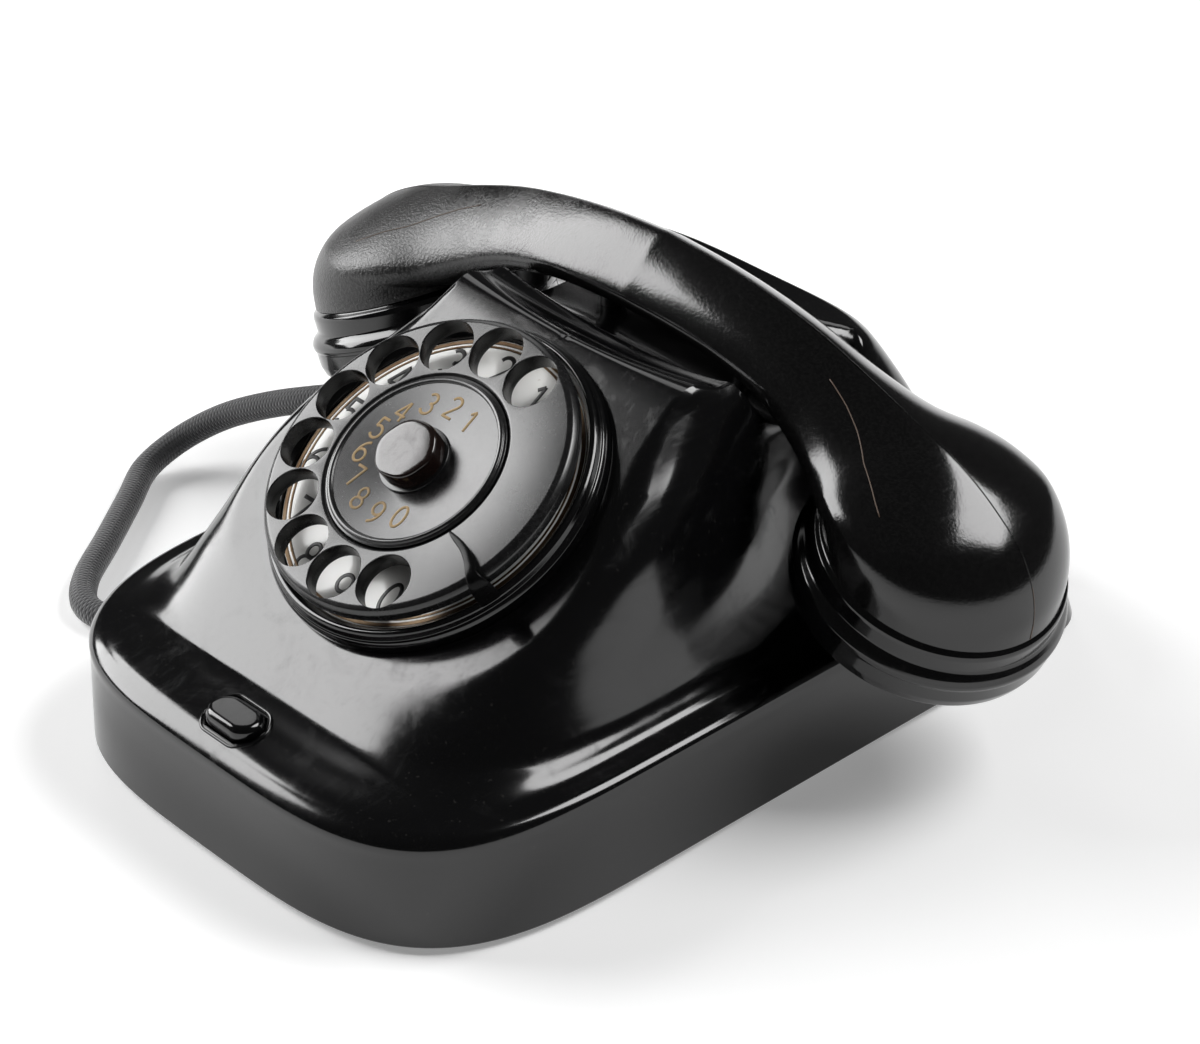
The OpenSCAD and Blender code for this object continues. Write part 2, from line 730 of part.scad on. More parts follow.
module earpiece_cap() {
    color(BLACK) at_cap(1) end_cap(20, ear_holes);
}

module transmitter_capsule() {
    color(STEEL) at_cap(-1) {
        translate([0, 0, -7]) cylinder(r = 16, h = 7.5, $fn = 64);
        translate([0, 0, -2.6]) cylinder(r = 23.3, h = 13.6, $fn = 64);
        translate([0, 0, 11]) cylinder(r = 19, h = 2.4, $fn = 64);
    }
}

module receiver_capsule() {
    color(STEEL) at_cap(1) {
        translate([0, 0, -8.4]) cylinder(r = 16, h = 9, $fn = 64);
        translate([0, 0, -2.6]) cylinder(r = 23.3, h = 14.2, $fn = 64);
    }
}

module cord_gland_handset() {
    color(DARK) translate([gland_x, handset_y, 72]) difference() {
        union() {
            translate([0, 0, 3]) cylinder(r = cord_r + 0.75, h = 8, $fn = 32);
            cylinder(r1 = cord_r + 0.4, r2 = cord_r + 0.75, h = 3, $fn = 32);
        }
        translate([0, 0, -1]) cylinder(r = 2, h = 20, $fn = 32);
    }
}

// ---- Handset cord -------------------------------------------------------------------------------

// From the handset, round under the mouthpiece, over the table to the front corner and back.
CORD_ROUTE = [
    [-52, 34, 71.8], [-52, 34, 66], [-52.4, 33, 58], [-54.5, 29.5, 49.5], [-61, 23.5, 42.5], [-72, 16.5, 39],
    [-87, 9, 34.5], [-103, 3, 29], [-118, -1, 22.5], [-131, -6, 15.5], [-139.5, -14, 8.5], [-140, -25, 4.2],
    [-131, -37, 3.6], [-119, -52.5, 3.6], [-108, -67, 3.6], [-98, -74, 3.6], [-87.5, -72.5, 3.6],
    [-80, -64, 3.6], [-78.3, -50, 3.6], [-78.3, -20, 3.6], [-78.3, 10, 3.6], [-79.5, 38, 3.6],
    [-83, 62, 3.6], [-87.5, 82, 3.6], [-90, 96, 3.6]
];
coil_x = -128;
coil_y = 96;
coil_r = 38;             // middle of the turns
coil_top = 14.4;
// From the top turn of the coil to the gland at the back of the case.
TAIL_ROUTE = [
    [-90, 96, 10.8], [-90, 106, 9.4], [-88.5, 117, 6.4], [-83, 128, 4.2], [-73, 134.5, 3.8],
    [-62, 133.5, 6.2], [-55, 128, 10.5], [-52.4, 121.5, 13.2], [-52, 115.5, 13.5]
];

function curve_point(a, b, c, d, t) = 0.5 * (
    2 * b + (c - a) * t + (2 * a - 5 * b + 4 * c - d) * t * t + (3 * b - a - 3 * c + d) * t * t * t
);
function dense(route, per) = let (n = len(route)) concat(
    [
        for (i = [0 : n - 2]) for (k = [0 : per - 1])
            curve_point(
                route[max(i - 1, 0)], route[i], route[i + 1], route[min(i + 2, n - 1)], k / per
            )
    ],
    [route[n - 1]]
);
function unit(v) = v / norm(v);
function tube_ring(p, dir, r, sides) = let (
    d = unit(dir),
    ref = abs(d[2]) > 0.8 ? [0, 1, 0] : [0, 0, 1],
    u = unit(cross(d, ref)),
    v = cross(d, u)
) [
    for (i = [0 : sides - 1]) p + r * (cos(360 * i / sides) * u + sin(360 * i / sides) * v)
];
// Rings keep their phase along the tube: each ring's first point is the nearest to the last one's.
function carried(rings, i, last) = i >= len(rings) ? [] : let (
    r = rings[i],
    n = len(r),
    d = [for (k = [0 : n - 1]) norm(r[k] - last[0])],
    k0 = search(min(d), d)[0],
    turned = [for (k = [0 : n - 1]) r[(k0 + k) % n]]
) concat([turned], carried(rings, i + 1, turned));

module sweep_tube(route, r, sides, per) {
    pts = dense(route, per);
    n = len(pts);
    rings = [
        for (i = [0 : n - 1])
            tube_ring(pts[i], pts[min(i + 1, n - 1)] - pts[max(i - 1, 0)], r, sides)
    ];
    kept = carried(rings, 0, rings[0]);
    mesh = ring_stack(kept);
    polyhedron(mesh[0], mesh[1], convexity = 8);
}

module handset_cord() {
    color(CLOTH) sweep_tube(CORD_ROUTE, cord_r, 10, 2);
}

module cord_coil() {
    color(CLOTH) translate([coil_x, coil_y, 0]) rotate_extrude($fn = 96)
        translate([coil_r - cord_r - 0.1, 0.1]) square([cord_d + 0.2, coil_top - 0.1]);
}

module cord_tail() {
    color(CLOTH) sweep_tube(TAIL_ROUTE, cord_r, 10, 2);
}

case_shell();
base_plate();
base_screws();
rubber_feet();
dial_ring();
number_plate();
finger_stop();
dial_frame();
governor_cup();
impulse_contacts();
finger_wheel();
number_disc();
center_knob();
dial_shaft();
main_gear();
dial_spring();
speed_gear();
impulse_cam();
governor();
plunger_left();
plunger_right();
hook_bracket();
hook_axle();
hook_lever();
hook_contacts();
front_button();
button_spring();
button_contacts();
ringer_frame();
ringer_coils();
ringer_yoke();
clapper_pin();
clapper();
gong_left();
gong_right();
gong_screws();
induction_coil();
capacitor();
terminal_block();
line_inlet();
cord_gland_case();
handset_body();
mouthpiece_cap();
earpiece_cap();
transmitter_capsule();
receiver_capsule();
cord_gland_handset();
handset_cord();
cord_coil();
cord_tail();
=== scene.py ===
"""Looks of the rotary desk telephone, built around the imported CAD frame. Lengths are in metres."""
import math

import bmesh
import bpy
import numpy as np
from mathutils import Matrix, Vector


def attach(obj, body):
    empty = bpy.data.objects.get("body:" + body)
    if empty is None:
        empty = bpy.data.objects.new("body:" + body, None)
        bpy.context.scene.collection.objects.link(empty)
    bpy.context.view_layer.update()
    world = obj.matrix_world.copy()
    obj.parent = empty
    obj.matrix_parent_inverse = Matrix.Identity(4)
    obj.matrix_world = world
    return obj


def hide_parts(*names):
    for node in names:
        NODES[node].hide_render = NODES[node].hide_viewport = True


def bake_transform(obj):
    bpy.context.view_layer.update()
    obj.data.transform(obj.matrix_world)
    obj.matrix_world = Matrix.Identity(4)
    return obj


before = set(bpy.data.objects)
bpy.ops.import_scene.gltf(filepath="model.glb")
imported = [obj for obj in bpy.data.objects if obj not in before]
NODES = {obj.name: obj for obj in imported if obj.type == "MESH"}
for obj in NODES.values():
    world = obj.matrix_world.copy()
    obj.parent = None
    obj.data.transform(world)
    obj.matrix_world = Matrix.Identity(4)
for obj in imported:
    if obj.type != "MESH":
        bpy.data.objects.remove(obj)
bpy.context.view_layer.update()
MM = 0.001

# ---- Design values shared with the CAD model, in millimetres -------------------------------------

HALF_W, HALF_D, WALL, FOOT_GAP = 73.5, 111.0, 3.0, 1.6
DIAL = Vector((0, -46.5, 76))
DIAL_TILT = math.radians(32.2)
HANDSET_X, HANDSET_Y, GRIP_TOP = -4.5, 34.0, 102.4
CAP_X, CAP_Z, CAP_TILT = 89.8, 56.3, math.radians(23.4)
FIRST_HOLE, HOLE_STEP, HOLE_RING, HOLE_R = 68.2, 25.7, 31.0, 6.7
STOP_ANGLE = math.radians(-24.3)
CORD_D = 7.0

to_dial = Matrix.Translation(DIAL) @ Matrix.Rotation(DIAL_TILT, 4, "X")


def cap_matrix(side):
    place = Matrix.Translation((HANDSET_X + side * CAP_X, HANDSET_Y, CAP_Z))
    return place @ Matrix.Rotation(side * (math.pi + CAP_TILT), 4, "Y")


# ---- Camera --------------------------------------------------------------------------------------

SENSOR, LENS = 36.0, 109.47
AZIMUTH, ELEVATION, ROLL = (math.radians(a) for a in (48.35, 32.01, -1.27))


def add_camera():
    data = bpy.data.cameras.new("camera")
    data.sensor_width, data.lens = SENSOR, LENS
    data.clip_start, data.clip_end = 0.05, 50
    cam = bpy.data.objects.new("camera", data)
    bpy.context.scene.collection.objects.link(cam)
    back = Vector((
        math.sin(AZIMUTH) * math.cos(ELEVATION),
        -math.cos(AZIMUTH) * math.cos(ELEVATION),
        math.sin(ELEVATION),
    ))
    right = Vector((0, 0, 1)).cross(back).normalized()
    up = back.cross(right)
    x_axis = math.cos(ROLL) * right + math.sin(ROLL) * up
    y_axis = -math.sin(ROLL) * right + math.cos(ROLL) * up
    turn = Matrix((x_axis, y_axis, back)).transposed().to_4x4()
    cam.matrix_world = Matrix.Translation((0.5455, -0.4773, 0.4927)) @ turn
    bpy.context.scene.camera = cam


# ---- Mesh helpers --------------------------------------------------------------------------------


def add_mesh(name, points, faces, body, material, matrix=None):
    """A piece from points in millimetres, riding on a CAD body."""
    if matrix is not None:
        points = [matrix @ Vector(p) for p in points]
    mesh = bpy.data.meshes.new(name)
    mesh.from_pydata([tuple(c * MM for c in p) for p in points], [], faces)
    mesh.validate()
    mesh.update()
    clean = bmesh.new()
    clean.from_mesh(mesh)
    bmesh.ops.remove_doubles(clean, verts=clean.verts, dist=1e-6)
    bmesh.ops.recalc_face_normals(clean, faces=clean.faces)
    clean.to_mesh(mesh)
    clean.free()
    return add_piece(mesh, body, material)


def add_piece(mesh, body, material):
    """A smooth-shaded object from a mesh, with its material and the body that it rides on."""
    for p in mesh.polygons:
        p.use_smooth = True
    obj = bpy.data.objects.new(mesh.name, mesh)
    bpy.context.scene.collection.objects.link(obj)
    mesh.materials.append(material)
    if body:
        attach(obj, body)
    return obj


def sharp_edges(obj, degrees):
    """Keeps edges sharper than this crisp in the shading."""
    limit = math.radians(degrees)
    mesh = obj.data
    work = bmesh.new()
    work.from_mesh(mesh)
    for edge in work.edges:
        if len(edge.link_faces) == 2:
            edge.smooth = edge.calc_face_angle(0) < limit
    work.to_mesh(mesh)
    work.free()


def grid_faces(rows, columns, start=0):
    """Faces between rings of points that follow one another."""
    faces = []
    for j in range(rows - 1):
        for i in range(columns):
            k = (i + 1) % columns
            a, b = start + j * columns, start + (j + 1) * columns
            faces.append((a + i, a + k, b + k, b + i))
    return faces


def closing_faces(rows, columns):
    """Faces from the last ring back to the first."""
    last = (rows - 1) * columns
    return [(last + i, last + (i + 1) % columns, (i + 1) % columns, i) for i in range(columns)]


def lathe(profile, steps=128, closed_profile=True):
    """Points and faces of a turned shape; profile is (radius, height) in order."""
    turns = [2 * math.pi * i / steps for i in range(steps)]
    points = [(r * math.cos(a), r * math.sin(a), h) for r, h in profile for a in turns]
    faces = grid_faces(len(profile), steps)
    if closed_profile:
        faces += closing_faces(len(profile), steps)
    return points, faces


def rounded(profile, radius, steps=3):
    """The profile with every corner rounded by an arc-like curve of about that radius."""
    out, n = [], len(profile)
    for i in range(n):
        before, here, after = (np.array(profile[(i + k) % n], float) for k in (-1, 0, 1))
        u, v = before - here, after - here
        lu, lv = np.linalg.norm(u), np.linalg.norm(v)
        if lu < 1e-6 or lv < 1e-6:
            continue
        reach = min(radius, lu * 0.45, lv * 0.45)
        a, b = here + u / lu * reach, here + v / lv * reach
        for k in range(steps + 1):
            t = k / steps
            out.append(tuple((1 - t) ** 2 * a + 2 * t * (1 - t) * here + t * t * b))
    return out


def placed(shape, matrix):
    """Points and faces moved by a matrix."""
    points, faces = shape
    return [tuple(matrix @ Vector(p)) for p in points], faces


def cut(obj, cutters):
    """Cuts solids, given as points and faces in millimetres, out of a piece."""
    points, faces = [], []
    for more, more_faces in cutters:
        start = len(points)
        points += more
        faces += [tuple(k + start for k in face) for face in more_faces]
    tool = add_mesh("cutter", points, faces, None, M["case"])
    boolean = obj.modifiers.new("boolean", "BOOLEAN")
    boolean.operation, boolean.solver, boolean.object = "DIFFERENCE", "EXACT", tool
    depsgraph = bpy.context.evaluated_depsgraph_get()
    mesh = bpy.data.meshes.new_from_object(obj.evaluated_get(depsgraph))
    obj.modifiers.clear()
    obj.data = mesh
    for p in mesh.polygons:
        p.use_smooth = True
    bpy.data.objects.remove(tool)


def stacked(rings):
    """Points and faces of rings joined in order, closed at both ends."""
    rows, steps = len(rings), len(rings[0])
    faces = grid_faces(rows, steps)
    faces += [tuple(range(steps - 1, -1, -1)), tuple(range((rows - 1) * steps, rows * steps))]
    return [p for ring in rings for p in ring], faces


def rod(line, radius, sides, across=(0.3, 0.5, 0.81)):
    """A round rod along a line of points; its first side lies square to that direction."""
    line = np.array(line, float)
    tangent = np.gradient(line, axis=0)
    tangent /= np.linalg.norm(tangent, axis=1)[:, None]
    side = np.cross(tangent[0], across)
    turns = [2 * math.pi * i / sides for i in range(sides)]
    rings = []
    for p, t in zip(line, tangent):
        side = side - t * side.dot(t)
        side /= np.linalg.norm(side)
        other = np.cross(t, side)
        rings.append([tuple(p + radius * (math.cos(a) * side + math.sin(a) * other)) for a in turns])
    return stacked(rings)


def ring_tube(loop, radius, sides):
    """A round tube along a closed, nearly level loop."""
    loop = np.array(loop, float)
    tangent = np.roll(loop, -1, axis=0) - np.roll(loop, 1, axis=0)
    tangent /= np.linalg.norm(tangent, axis=1)[:, None]
    turns = [2 * math.pi * i / sides for i in range(sides)]
    points = []
    for p, t in zip(loop, tangent):
        side = np.cross(t, (0, 0, 1))
        side /= np.linalg.norm(side)
        other = np.cross(side, t)
        points += [tuple(p + radius * (math.cos(a) * side + math.sin(a) * other)) for a in turns]
    return points, grid_faces(len(loop), sides) + closing_faces(len(loop), sides)


def distances(line):
    """How far along the line each of its points is."""
    return np.concatenate([[0], np.cumsum(np.linalg.norm(np.diff(line, axis=0), axis=1))])


def resampled(line, count):
    """That many points along a line, evenly spaced, ends kept."""
    line, along = np.array(line, float), distances(line)
    at = np.linspace(0, along[-1], count)
    return np.stack([np.interp(at, along, line[:, k]) for k in range(3)], axis=1)


# ---- Materials -----------------------------------------------------------------------------------


class Shader:
    """Short names for building a node material."""

    def __init__(self, name):
        self.material = bpy.data.materials.new(name)
        self.material.use_nodes = True
        self.tree = self.material.node_tree
        self.bsdf = self.tree.nodes["Principled BSDF"]
        self.coords = self.node("ShaderNodeTexCoord").outputs["Object"]

    def node(self, kind, **values):
        made = self.tree.nodes.new(kind)
        for key, value in values.items():
            setattr(made, key, value)
        return made

    def link(self, a, b):
        self.tree.links.new(a, b)

    def set(self, **values):
        for key, value in values.items():
            self.bsdf.inputs[key.replace("_", " ")].default_value = value
        return self

    def scaled(self, scale, rotation=(0, 0, 0), source=None):
        mapping = self.node("ShaderNodeMapping")
        mapping.inputs["Scale"].default_value = scale
        mapping.inputs["Rotation"].default_value = rotation
        self.link(source or self.coords, mapping.inputs["Vector"])
        return mapping.outputs["Vector"]

    def noise(self, scale, detail=4, roughness=0.55, vector=None, distortion=0):
        made = self.node("ShaderNodeTexNoise")
        made.inputs["Scale"].default_value = scale
        made.inputs["Detail"].default_value = detail
        made.inputs["Roughness"].default_value = roughness
        made.inputs["Distortion"].default_value = distortion
        self.link(vector or self.coords, made.inputs["Vector"])
        return made.outputs["Fac"]

    def ramp(self, value, *stops):
        made = self.node("ShaderNodeValToRGB")
        elements = made.color_ramp.elements
        while len(elements) < len(stops):
            elements.new(0.5)
        for element, (place, colour) in zip(elements, stops):
            element.position = place
            element.color = colour if len(colour) == 4 else (*colour, 1)
        self.link(value, made.inputs["Fac"])
        return made.outputs["Color"]

    def grey(self, value, *stops):
        return self.ramp(value, *[(place, (v, v, v)) for place, v in stops])

    def math(self, operation, a, b=None):
        made = self.node("ShaderNodeMath", operation=operation)
        for socket, value in zip(made.inputs, (a, b)):
            if value is None:
                continue
            if isinstance(value, (int, float)):
                socket.default_value = value
            else:
                self.link(value, socket)
        return made.outputs["Value"]

    def mix(self, factor, a, b):
        made = self.node("ShaderNodeMix", data_type="RGBA")
        for socket, value in zip((made.inputs[0], made.inputs[6], made.inputs[7]), (factor, a, b)):
            if isinstance(value, (int, float)):
                socket.default_value = value
            elif isinstance(value, tuple):
                socket.default_value = value if len(value) == 4 else (*value, 1)
            else:
                self.link(value, socket)
        return made.outputs[2]

    def bump(self, height, strength, distance=0.0002, normal=None):
        made = self.node("ShaderNodeBump")
        made.inputs["Strength"].default_value = strength
        made.inputs["Distance"].default_value = distance
        self.link(height, made.inputs["Height"])
        if normal is not None:
            self.link(normal, made.inputs["Normal"])
        return made.outputs["Normal"]

    def into(self, socket, value):
        self.link(value, self.bsdf.inputs[socket])
        return self


def scratches(s, density, seed_turn):
    """Fine straight scratches in one direction: thin stretched noise."""
    vector = s.scaled((density, density * 0.02, density), (0.3, 0.2, seed_turn))
    return s.grey(s.noise(1.0, 2, 0.4, vector), (0.60, 0.0), (0.66, 1.0))


def bakelite(name, worn=0.0, dust=0.5, tone=(0.0017, 0.0017, 0.0019)):
    """Polished black phenolic: nearly black, with hazy wear, fine scratches and dust specks."""
    s = Shader(name)
    haze = s.noise(26, 6, 0.62)
    patches = s.noise(7, 3, 0.5)
    scratch_a = scratches(s, 900, 0.5)
    scratch_b = scratches(s, 800, 2.1)
    specks = s.grey(s.noise(900, 1, 0.5), (0.70, 0.0), (0.76, 1.0))
    colour = s.mix(haze, tone, tuple(1.8 * c for c in tone))
    colour = s.mix(s.math("MULTIPLY", specks, 0.25 * dust), colour, (0.10, 0.095, 0.088))
    s.into("Base Color", colour)
    rough = s.math("ADD", s.math("MULTIPLY", haze, 0.08), 0.055 + 0.2 * worn)
    rough = s.math("ADD", rough, s.math("MULTIPLY", patches, 0.05))
    smudge = s.grey(s.noise(85, 4, 0.7, distortion=0.8), (0.52, 0.0), (0.66, 1.0))
    rough = s.math("ADD", rough, s.math("MULTIPLY", smudge, 0.07))
    rough = s.math("ADD", rough, s.math("MULTIPLY", scratch_a, 0.03))
    s.into("Roughness", rough)
    lines = s.math("ADD", scratch_a, scratch_b)
    orange_peel = s.noise(320, 2, 0.5)
    normal = s.bump(lines, 0.016, 0.00004)
    normal = s.bump(orange_peel, 0.06 + 0.3 * worn, 0.00006, normal)
    s.into("Normal", normal)
    s.set(IOR=1.58)
    return s.material


def worn_bakelite(name):
    """The handset: glossy, with the left half of the grip rubbed dull and finely pitted."""
    s = Shader(name)
    separate = s.node("ShaderNodeSeparateXYZ")
    s.link(s.coords, separate.inputs["Vector"])
    left = s.math("MULTIPLY", s.math("ADD", separate.outputs["X"], 0.01), -12.0)
    ragged = s.math("ADD", left, s.math("MULTIPLY", s.math("SUBTRACT", s.noise(22, 5, 0.65), 0.5), 1.6))
    worn = s.grey(ragged, (0.15, 0.12), (0.75, 1.0))
    haze = s.noise(30, 6, 0.62)
    pits = s.grey(s.noise(1500, 2, 0.6), (0.42, 0.0), (0.60, 1.0))
    scratch = scratches(s, 900, 1.1)
    colour = s.mix(haze, (0.0019, 0.0019, 0.002), (0.0036, 0.0035, 0.0036))
    pitted = s.math("MULTIPLY", s.math("MULTIPLY", pits, worn), 0.5)
    colour = s.mix(pitted, colour, (0.05, 0.049, 0.048))
    s.into("Base Color", colour)
    rough = s.math("ADD", s.math("MULTIPLY", haze, 0.08), 0.06)
    rough = s.math("ADD", rough, s.math("MULTIPLY", worn, 0.24))
    rough = s.math("ADD", rough, s.math("MULTIPLY", scratch, 0.03))
    s.into("Roughness", rough)
    normal = s.bump(scratch, 0.008, 0.00004)
    normal = s.bump(s.math("MULTIPLY", pits, worn), 0.45, 0.0001, normal)
    s.into("Normal", normal)
    s.set(IOR=1.58)
    return s.material


def lacquer(name, base=0.004, grey=0.02, ior=1.6):
    """Black lacquered metal, finely scuffed so that it looks grey under a broad light."""
    s = Shader(name)
    scuff = s.noise(1100, 3, 0.6)
    cloud = s.noise(60, 5, 0.6)
    fleck = s.grey(scuff, (0.40, 0.0), (0.9, 1.0))
    scuffed = s.math("MULTIPLY", fleck, 0.7)
    s.into("Base Color", s.mix(scuffed, (base, base, base * 1.05), (grey, grey, grey * 1.03)))
    rough = s.math("ADD", s.math("MULTIPLY", cloud, 0.14), 0.17)
    s.into("Roughness", s.math("ADD", rough, s.math("MULTIPLY", fleck, 0.05)))
    normal = s.bump(scuff, 0.035, 0.00003)
    s.into("Normal", normal)
    s.set(IOR=ior)
    return s.material


def enamel(name):
    """White vitreous enamel, yellowed in patches, with small dark chips."""
    s = Shader(name)
    cloud = s.noise(55, 5, 0.6)
    chips = s.grey(s.noise(420, 3, 0.6), (0.70, 0.0), (0.74, 1.0))
    colour = s.mix(cloud, (0.80, 0.80, 0.78), (0.88, 0.87, 0.84))
    s.into("Base Color", s.mix(s.math("MULTIPLY", chips, 0.5), colour, (0.25, 0.17, 0.09)))
    s.into("Roughness", s.math("ADD", s.math("MULTIPLY", cloud, 0.15), 0.12))
    s.into("Normal", s.bump(s.noise(300, 2, 0.5), 0.08, 0.0001))
    return s.material


def metal(name, colour, rough):
    """Plated or turned metal with a fine brushed grain and a little tarnish."""
    s = Shader(name)
    grain = s.noise(1.0, 3, 0.6, s.scaled((900, 36, 900)))
    tarnish = s.grey(s.noise(70, 5, 0.6), (0.45, 0.0), (0.75, 1.0))
    s.into("Base Color", s.mix(s.math("MULTIPLY", tarnish, 0.35), colour, (0.3, 0.25, 0.18)))
    s.into("Roughness", s.math("ADD", s.math("MULTIPLY", grain, 0.2), rough))
    s.into("Normal", s.bump(grain, 0.12, 0.00005))
    s.set(Metallic=1.0)
    return s.material


def plain(name, colour, rough, grain=500, depth=0.15, second=None):
    """Rubber, ebonite, varnished tape and the like: a mottled colour with a fine surface grain."""
    s = Shader(name)
    cloud = s.noise(80, 5, 0.6)
    s.into("Base Color", s.mix(cloud, colour, second or tuple(c * 1.5 for c in colour)))
    s.into("Roughness", s.math("ADD", s.math("MULTIPLY", cloud, 0.2), rough))
    s.into("Normal", s.bump(s.noise(grain, 3, 0.6), depth, 0.0001))
    return s.material


def winding(name, colour):
    """Varnished windings: fine rings side by side."""
    s = Shader(name)
    wave = s.node("ShaderNodeTexWave", wave_type="BANDS", bands_direction="Y")
    wave.inputs["Scale"].default_value = 500
    wave.inputs["Distortion"].default_value = 0.6
    s.link(s.coords, wave.inputs["Vector"])
    s.into("Base Color", s.mix(wave.outputs["Fac"], colour, tuple(c * 0.4 for c in colour)))
    s.into("Normal", s.bump(wave.outputs["Fac"], 0.5, 0.0001))
    s.into("Roughness", s.math("ADD", s.math("MULTIPLY", s.noise(50), 0.2), 0.35))
    return s.material


def braid(name):
    """Braided cloth over a cord: two crossing sets of strands, laid by the piece's own UV map."""
    s = Shader(name)
    uv = s.node("ShaderNodeUVMap").outputs["UV"]
    split = s.node("ShaderNodeSeparateXYZ")
    s.link(uv, split.inputs["Vector"])
    length, turn = split.outputs["X"], split.outputs["Y"]
    strands, pitch = 8.0, 900.0

    def set_of(sign):
        phase = s.math("ADD", s.math("MULTIPLY", length, pitch), s.math("MULTIPLY", turn, sign * strands))
        return s.math("ABSOLUTE", s.math("SINE", s.math("MULTIPLY", phase, math.pi)))

    one, two = set_of(1), set_of(-1)
    height = s.math("MAXIMUM", one, two)
    fibre = s.noise(2600, 3, 0.7)
    fuzz = s.math("ADD", s.math("MULTIPLY", height, 0.75), s.math("MULTIPLY", fibre, 0.35))
    s.into("Base Color", s.ramp(fuzz, (0.25, (0.007, 0.007, 0.008)), (0.95, (0.035, 0.035, 0.038))))
    s.into("Roughness", s.math("ADD", s.math("MULTIPLY", fibre, 0.2), 0.68))
    normal = s.bump(height, 0.7, 0.0004)
    s.into("Normal", s.bump(fibre, 0.35, 0.0002, normal))
    s.set(Sheen_Weight=0.5, Sheen_Roughness=0.5)
    return s.material


def paint(name, colour, rough=0.5):
    """Filled or printed numerals, and the tan painted highlight lines on the handset: slightly uneven paint.
    """
    s = Shader(name)
    cloud = s.noise(1400, 3, 0.6)
    s.into("Base Color", s.mix(cloud, tuple(c * 0.6 for c in colour), colour))
    s.into("Roughness", s.math("ADD", s.math("MULTIPLY", cloud, 0.25), rough))
    s.into("Normal", s.bump(cloud, 0.3, 0.0001))
    return s.material


M = {
    "case": bakelite("bakelite_case", 0.05, 0.6),
    "bezel": bakelite("bakelite_bezel", 0.0, 0.4),
    "cap": bakelite("bakelite_cap", 0.0, 0.3),
    "handset": worn_bakelite("bakelite_handset"),
    "dial": lacquer("dial_lacquer"),
    "disc": lacquer("disc_lacquer", 0.006, 0.03),
    # The knob's faint brown tone is a painted reflection of brown surroundings, laid into its base colour.
    "knob": bakelite("bakelite_knob", 0.0, 0.2, (0.006, 0.003, 0.0024)),
    "button": bakelite("bakelite_button", 0.0, 0.2),
    # Tan paint for the thin lines along the handset's crease and end tops: a painted highlight standing in
    # for orange reflections on sharp edges.
    "highlight_paint": paint("tan_painted_highlight_line", (0.11, 0.067, 0.042), 0.4),
    "stop": lacquer("stop_lacquer", 0.003, 0.006, 1.2),
    "enamel": enamel("plate_enamel"),
    "rim": metal("plate_rim_brass", (0.10, 0.062, 0.035), 0.42),
    "steel": metal("zinc_steel", (0.52, 0.53, 0.54), 0.34),
    "nickel": metal("nickel_gong", (0.66, 0.65, 0.62), 0.2),
    "brass": metal("brass_parts", (0.62, 0.46, 0.21), 0.28),
    "rubber": plain("rubber_black", (0.018, 0.018, 0.018), 0.6),
    "ebonite": plain("ebonite", (0.012, 0.012, 0.013), 0.38),
    "tin": plain("lacquered_tin", (0.33, 0.34, 0.33), 0.35, 300, 0.08, (0.4, 0.4, 0.38)),
    "winding": winding("copper_winding", (0.26, 0.10, 0.04)),
    "braid": braid("cord_braid"),
    "gold": paint("numeral_gold", (0.42, 0.28, 0.12)),
    "black": paint("numeral_black", (0.015, 0.014, 0.014), 0.3),
}

# ---- Handset cord --------------------------------------------------------------------------------

CORD_ROUTE = [
    (-52, 34, 71.8), (-52, 34, 66), (-52.4, 33, 58), (-54.5, 29.5, 49.5), (-61, 23.5, 42.5),
    (-72, 16.5, 39), (-87, 9, 34.5), (-103, 3, 29), (-118, -1, 22.5), (-131, -6, 15.5),
    (-139.5, -14, 8.5), (-140, -25, 4.2), (-131, -37, 3.6), (-119, -52.5, 3.6), (-108, -67, 3.6),
    (-98, -74, 3.6), (-87.5, -72.5, 3.6), (-80, -64, 3.6), (-78.3, -50, 3.6), (-78.3, -20, 3.6),
    (-78.3, 10, 3.6), (-79.5, 38, 3.6), (-83, 62, 3.6), (-87.5, 82, 3.6), (-90, 96, 3.6),
]
COIL_CENTRE, COIL_R, COIL_TURNS, COIL_LOW, COIL_HIGH = (-128, 96), 38, 2, 3.6, 10.8
CORD_STEP = 1.5
TAIL_ROUTE = [
    (-90, 96, 10.8), (-90, 106, 9.4), (-88.5, 117, 6.4), (-83, 128, 4.2), (-73, 134.5, 3.8),
    (-62, 133.5, 6.2), (-55, 128, 10.5), (-52.4, 121.5, 13.2), (-52, 115.5, 13.5),
]


def smooth_line(route, per):
    """A smooth curve through the route's points."""
    points = [np.array(p, float) for p in route]
    ends = len(points) - 1
    line = []
    for i in range(ends):
        a, b, c, d = points[max(i - 1, 0)], points[i], points[i + 1], points[min(i + 2, ends)]
        for k in range(per):
            t = k / per
            line.append(0.5 * (
                2 * b + (c - a) * t + (2 * a - 5 * b + 4 * c - d) * t * t
                + (3 * b - a - 3 * c + d) * t ** 3
            ))
    line.append(points[-1])
    return line


def coil_line(per_turn=36):
    """The loose turns that lie on the table, rising a little."""
    count = COIL_TURNS * per_turn
    line = []
    for i in range(1, count):
        a = 2 * math.pi * i / per_turn
        rise = COIL_LOW + (COIL_HIGH - COIL_LOW) * i / count
        line.append(np.array((
            COIL_CENTRE[0] + COIL_R * math.cos(a), COIL_CENTRE[1] + COIL_R * math.sin(a), rise,
        )))
    return line


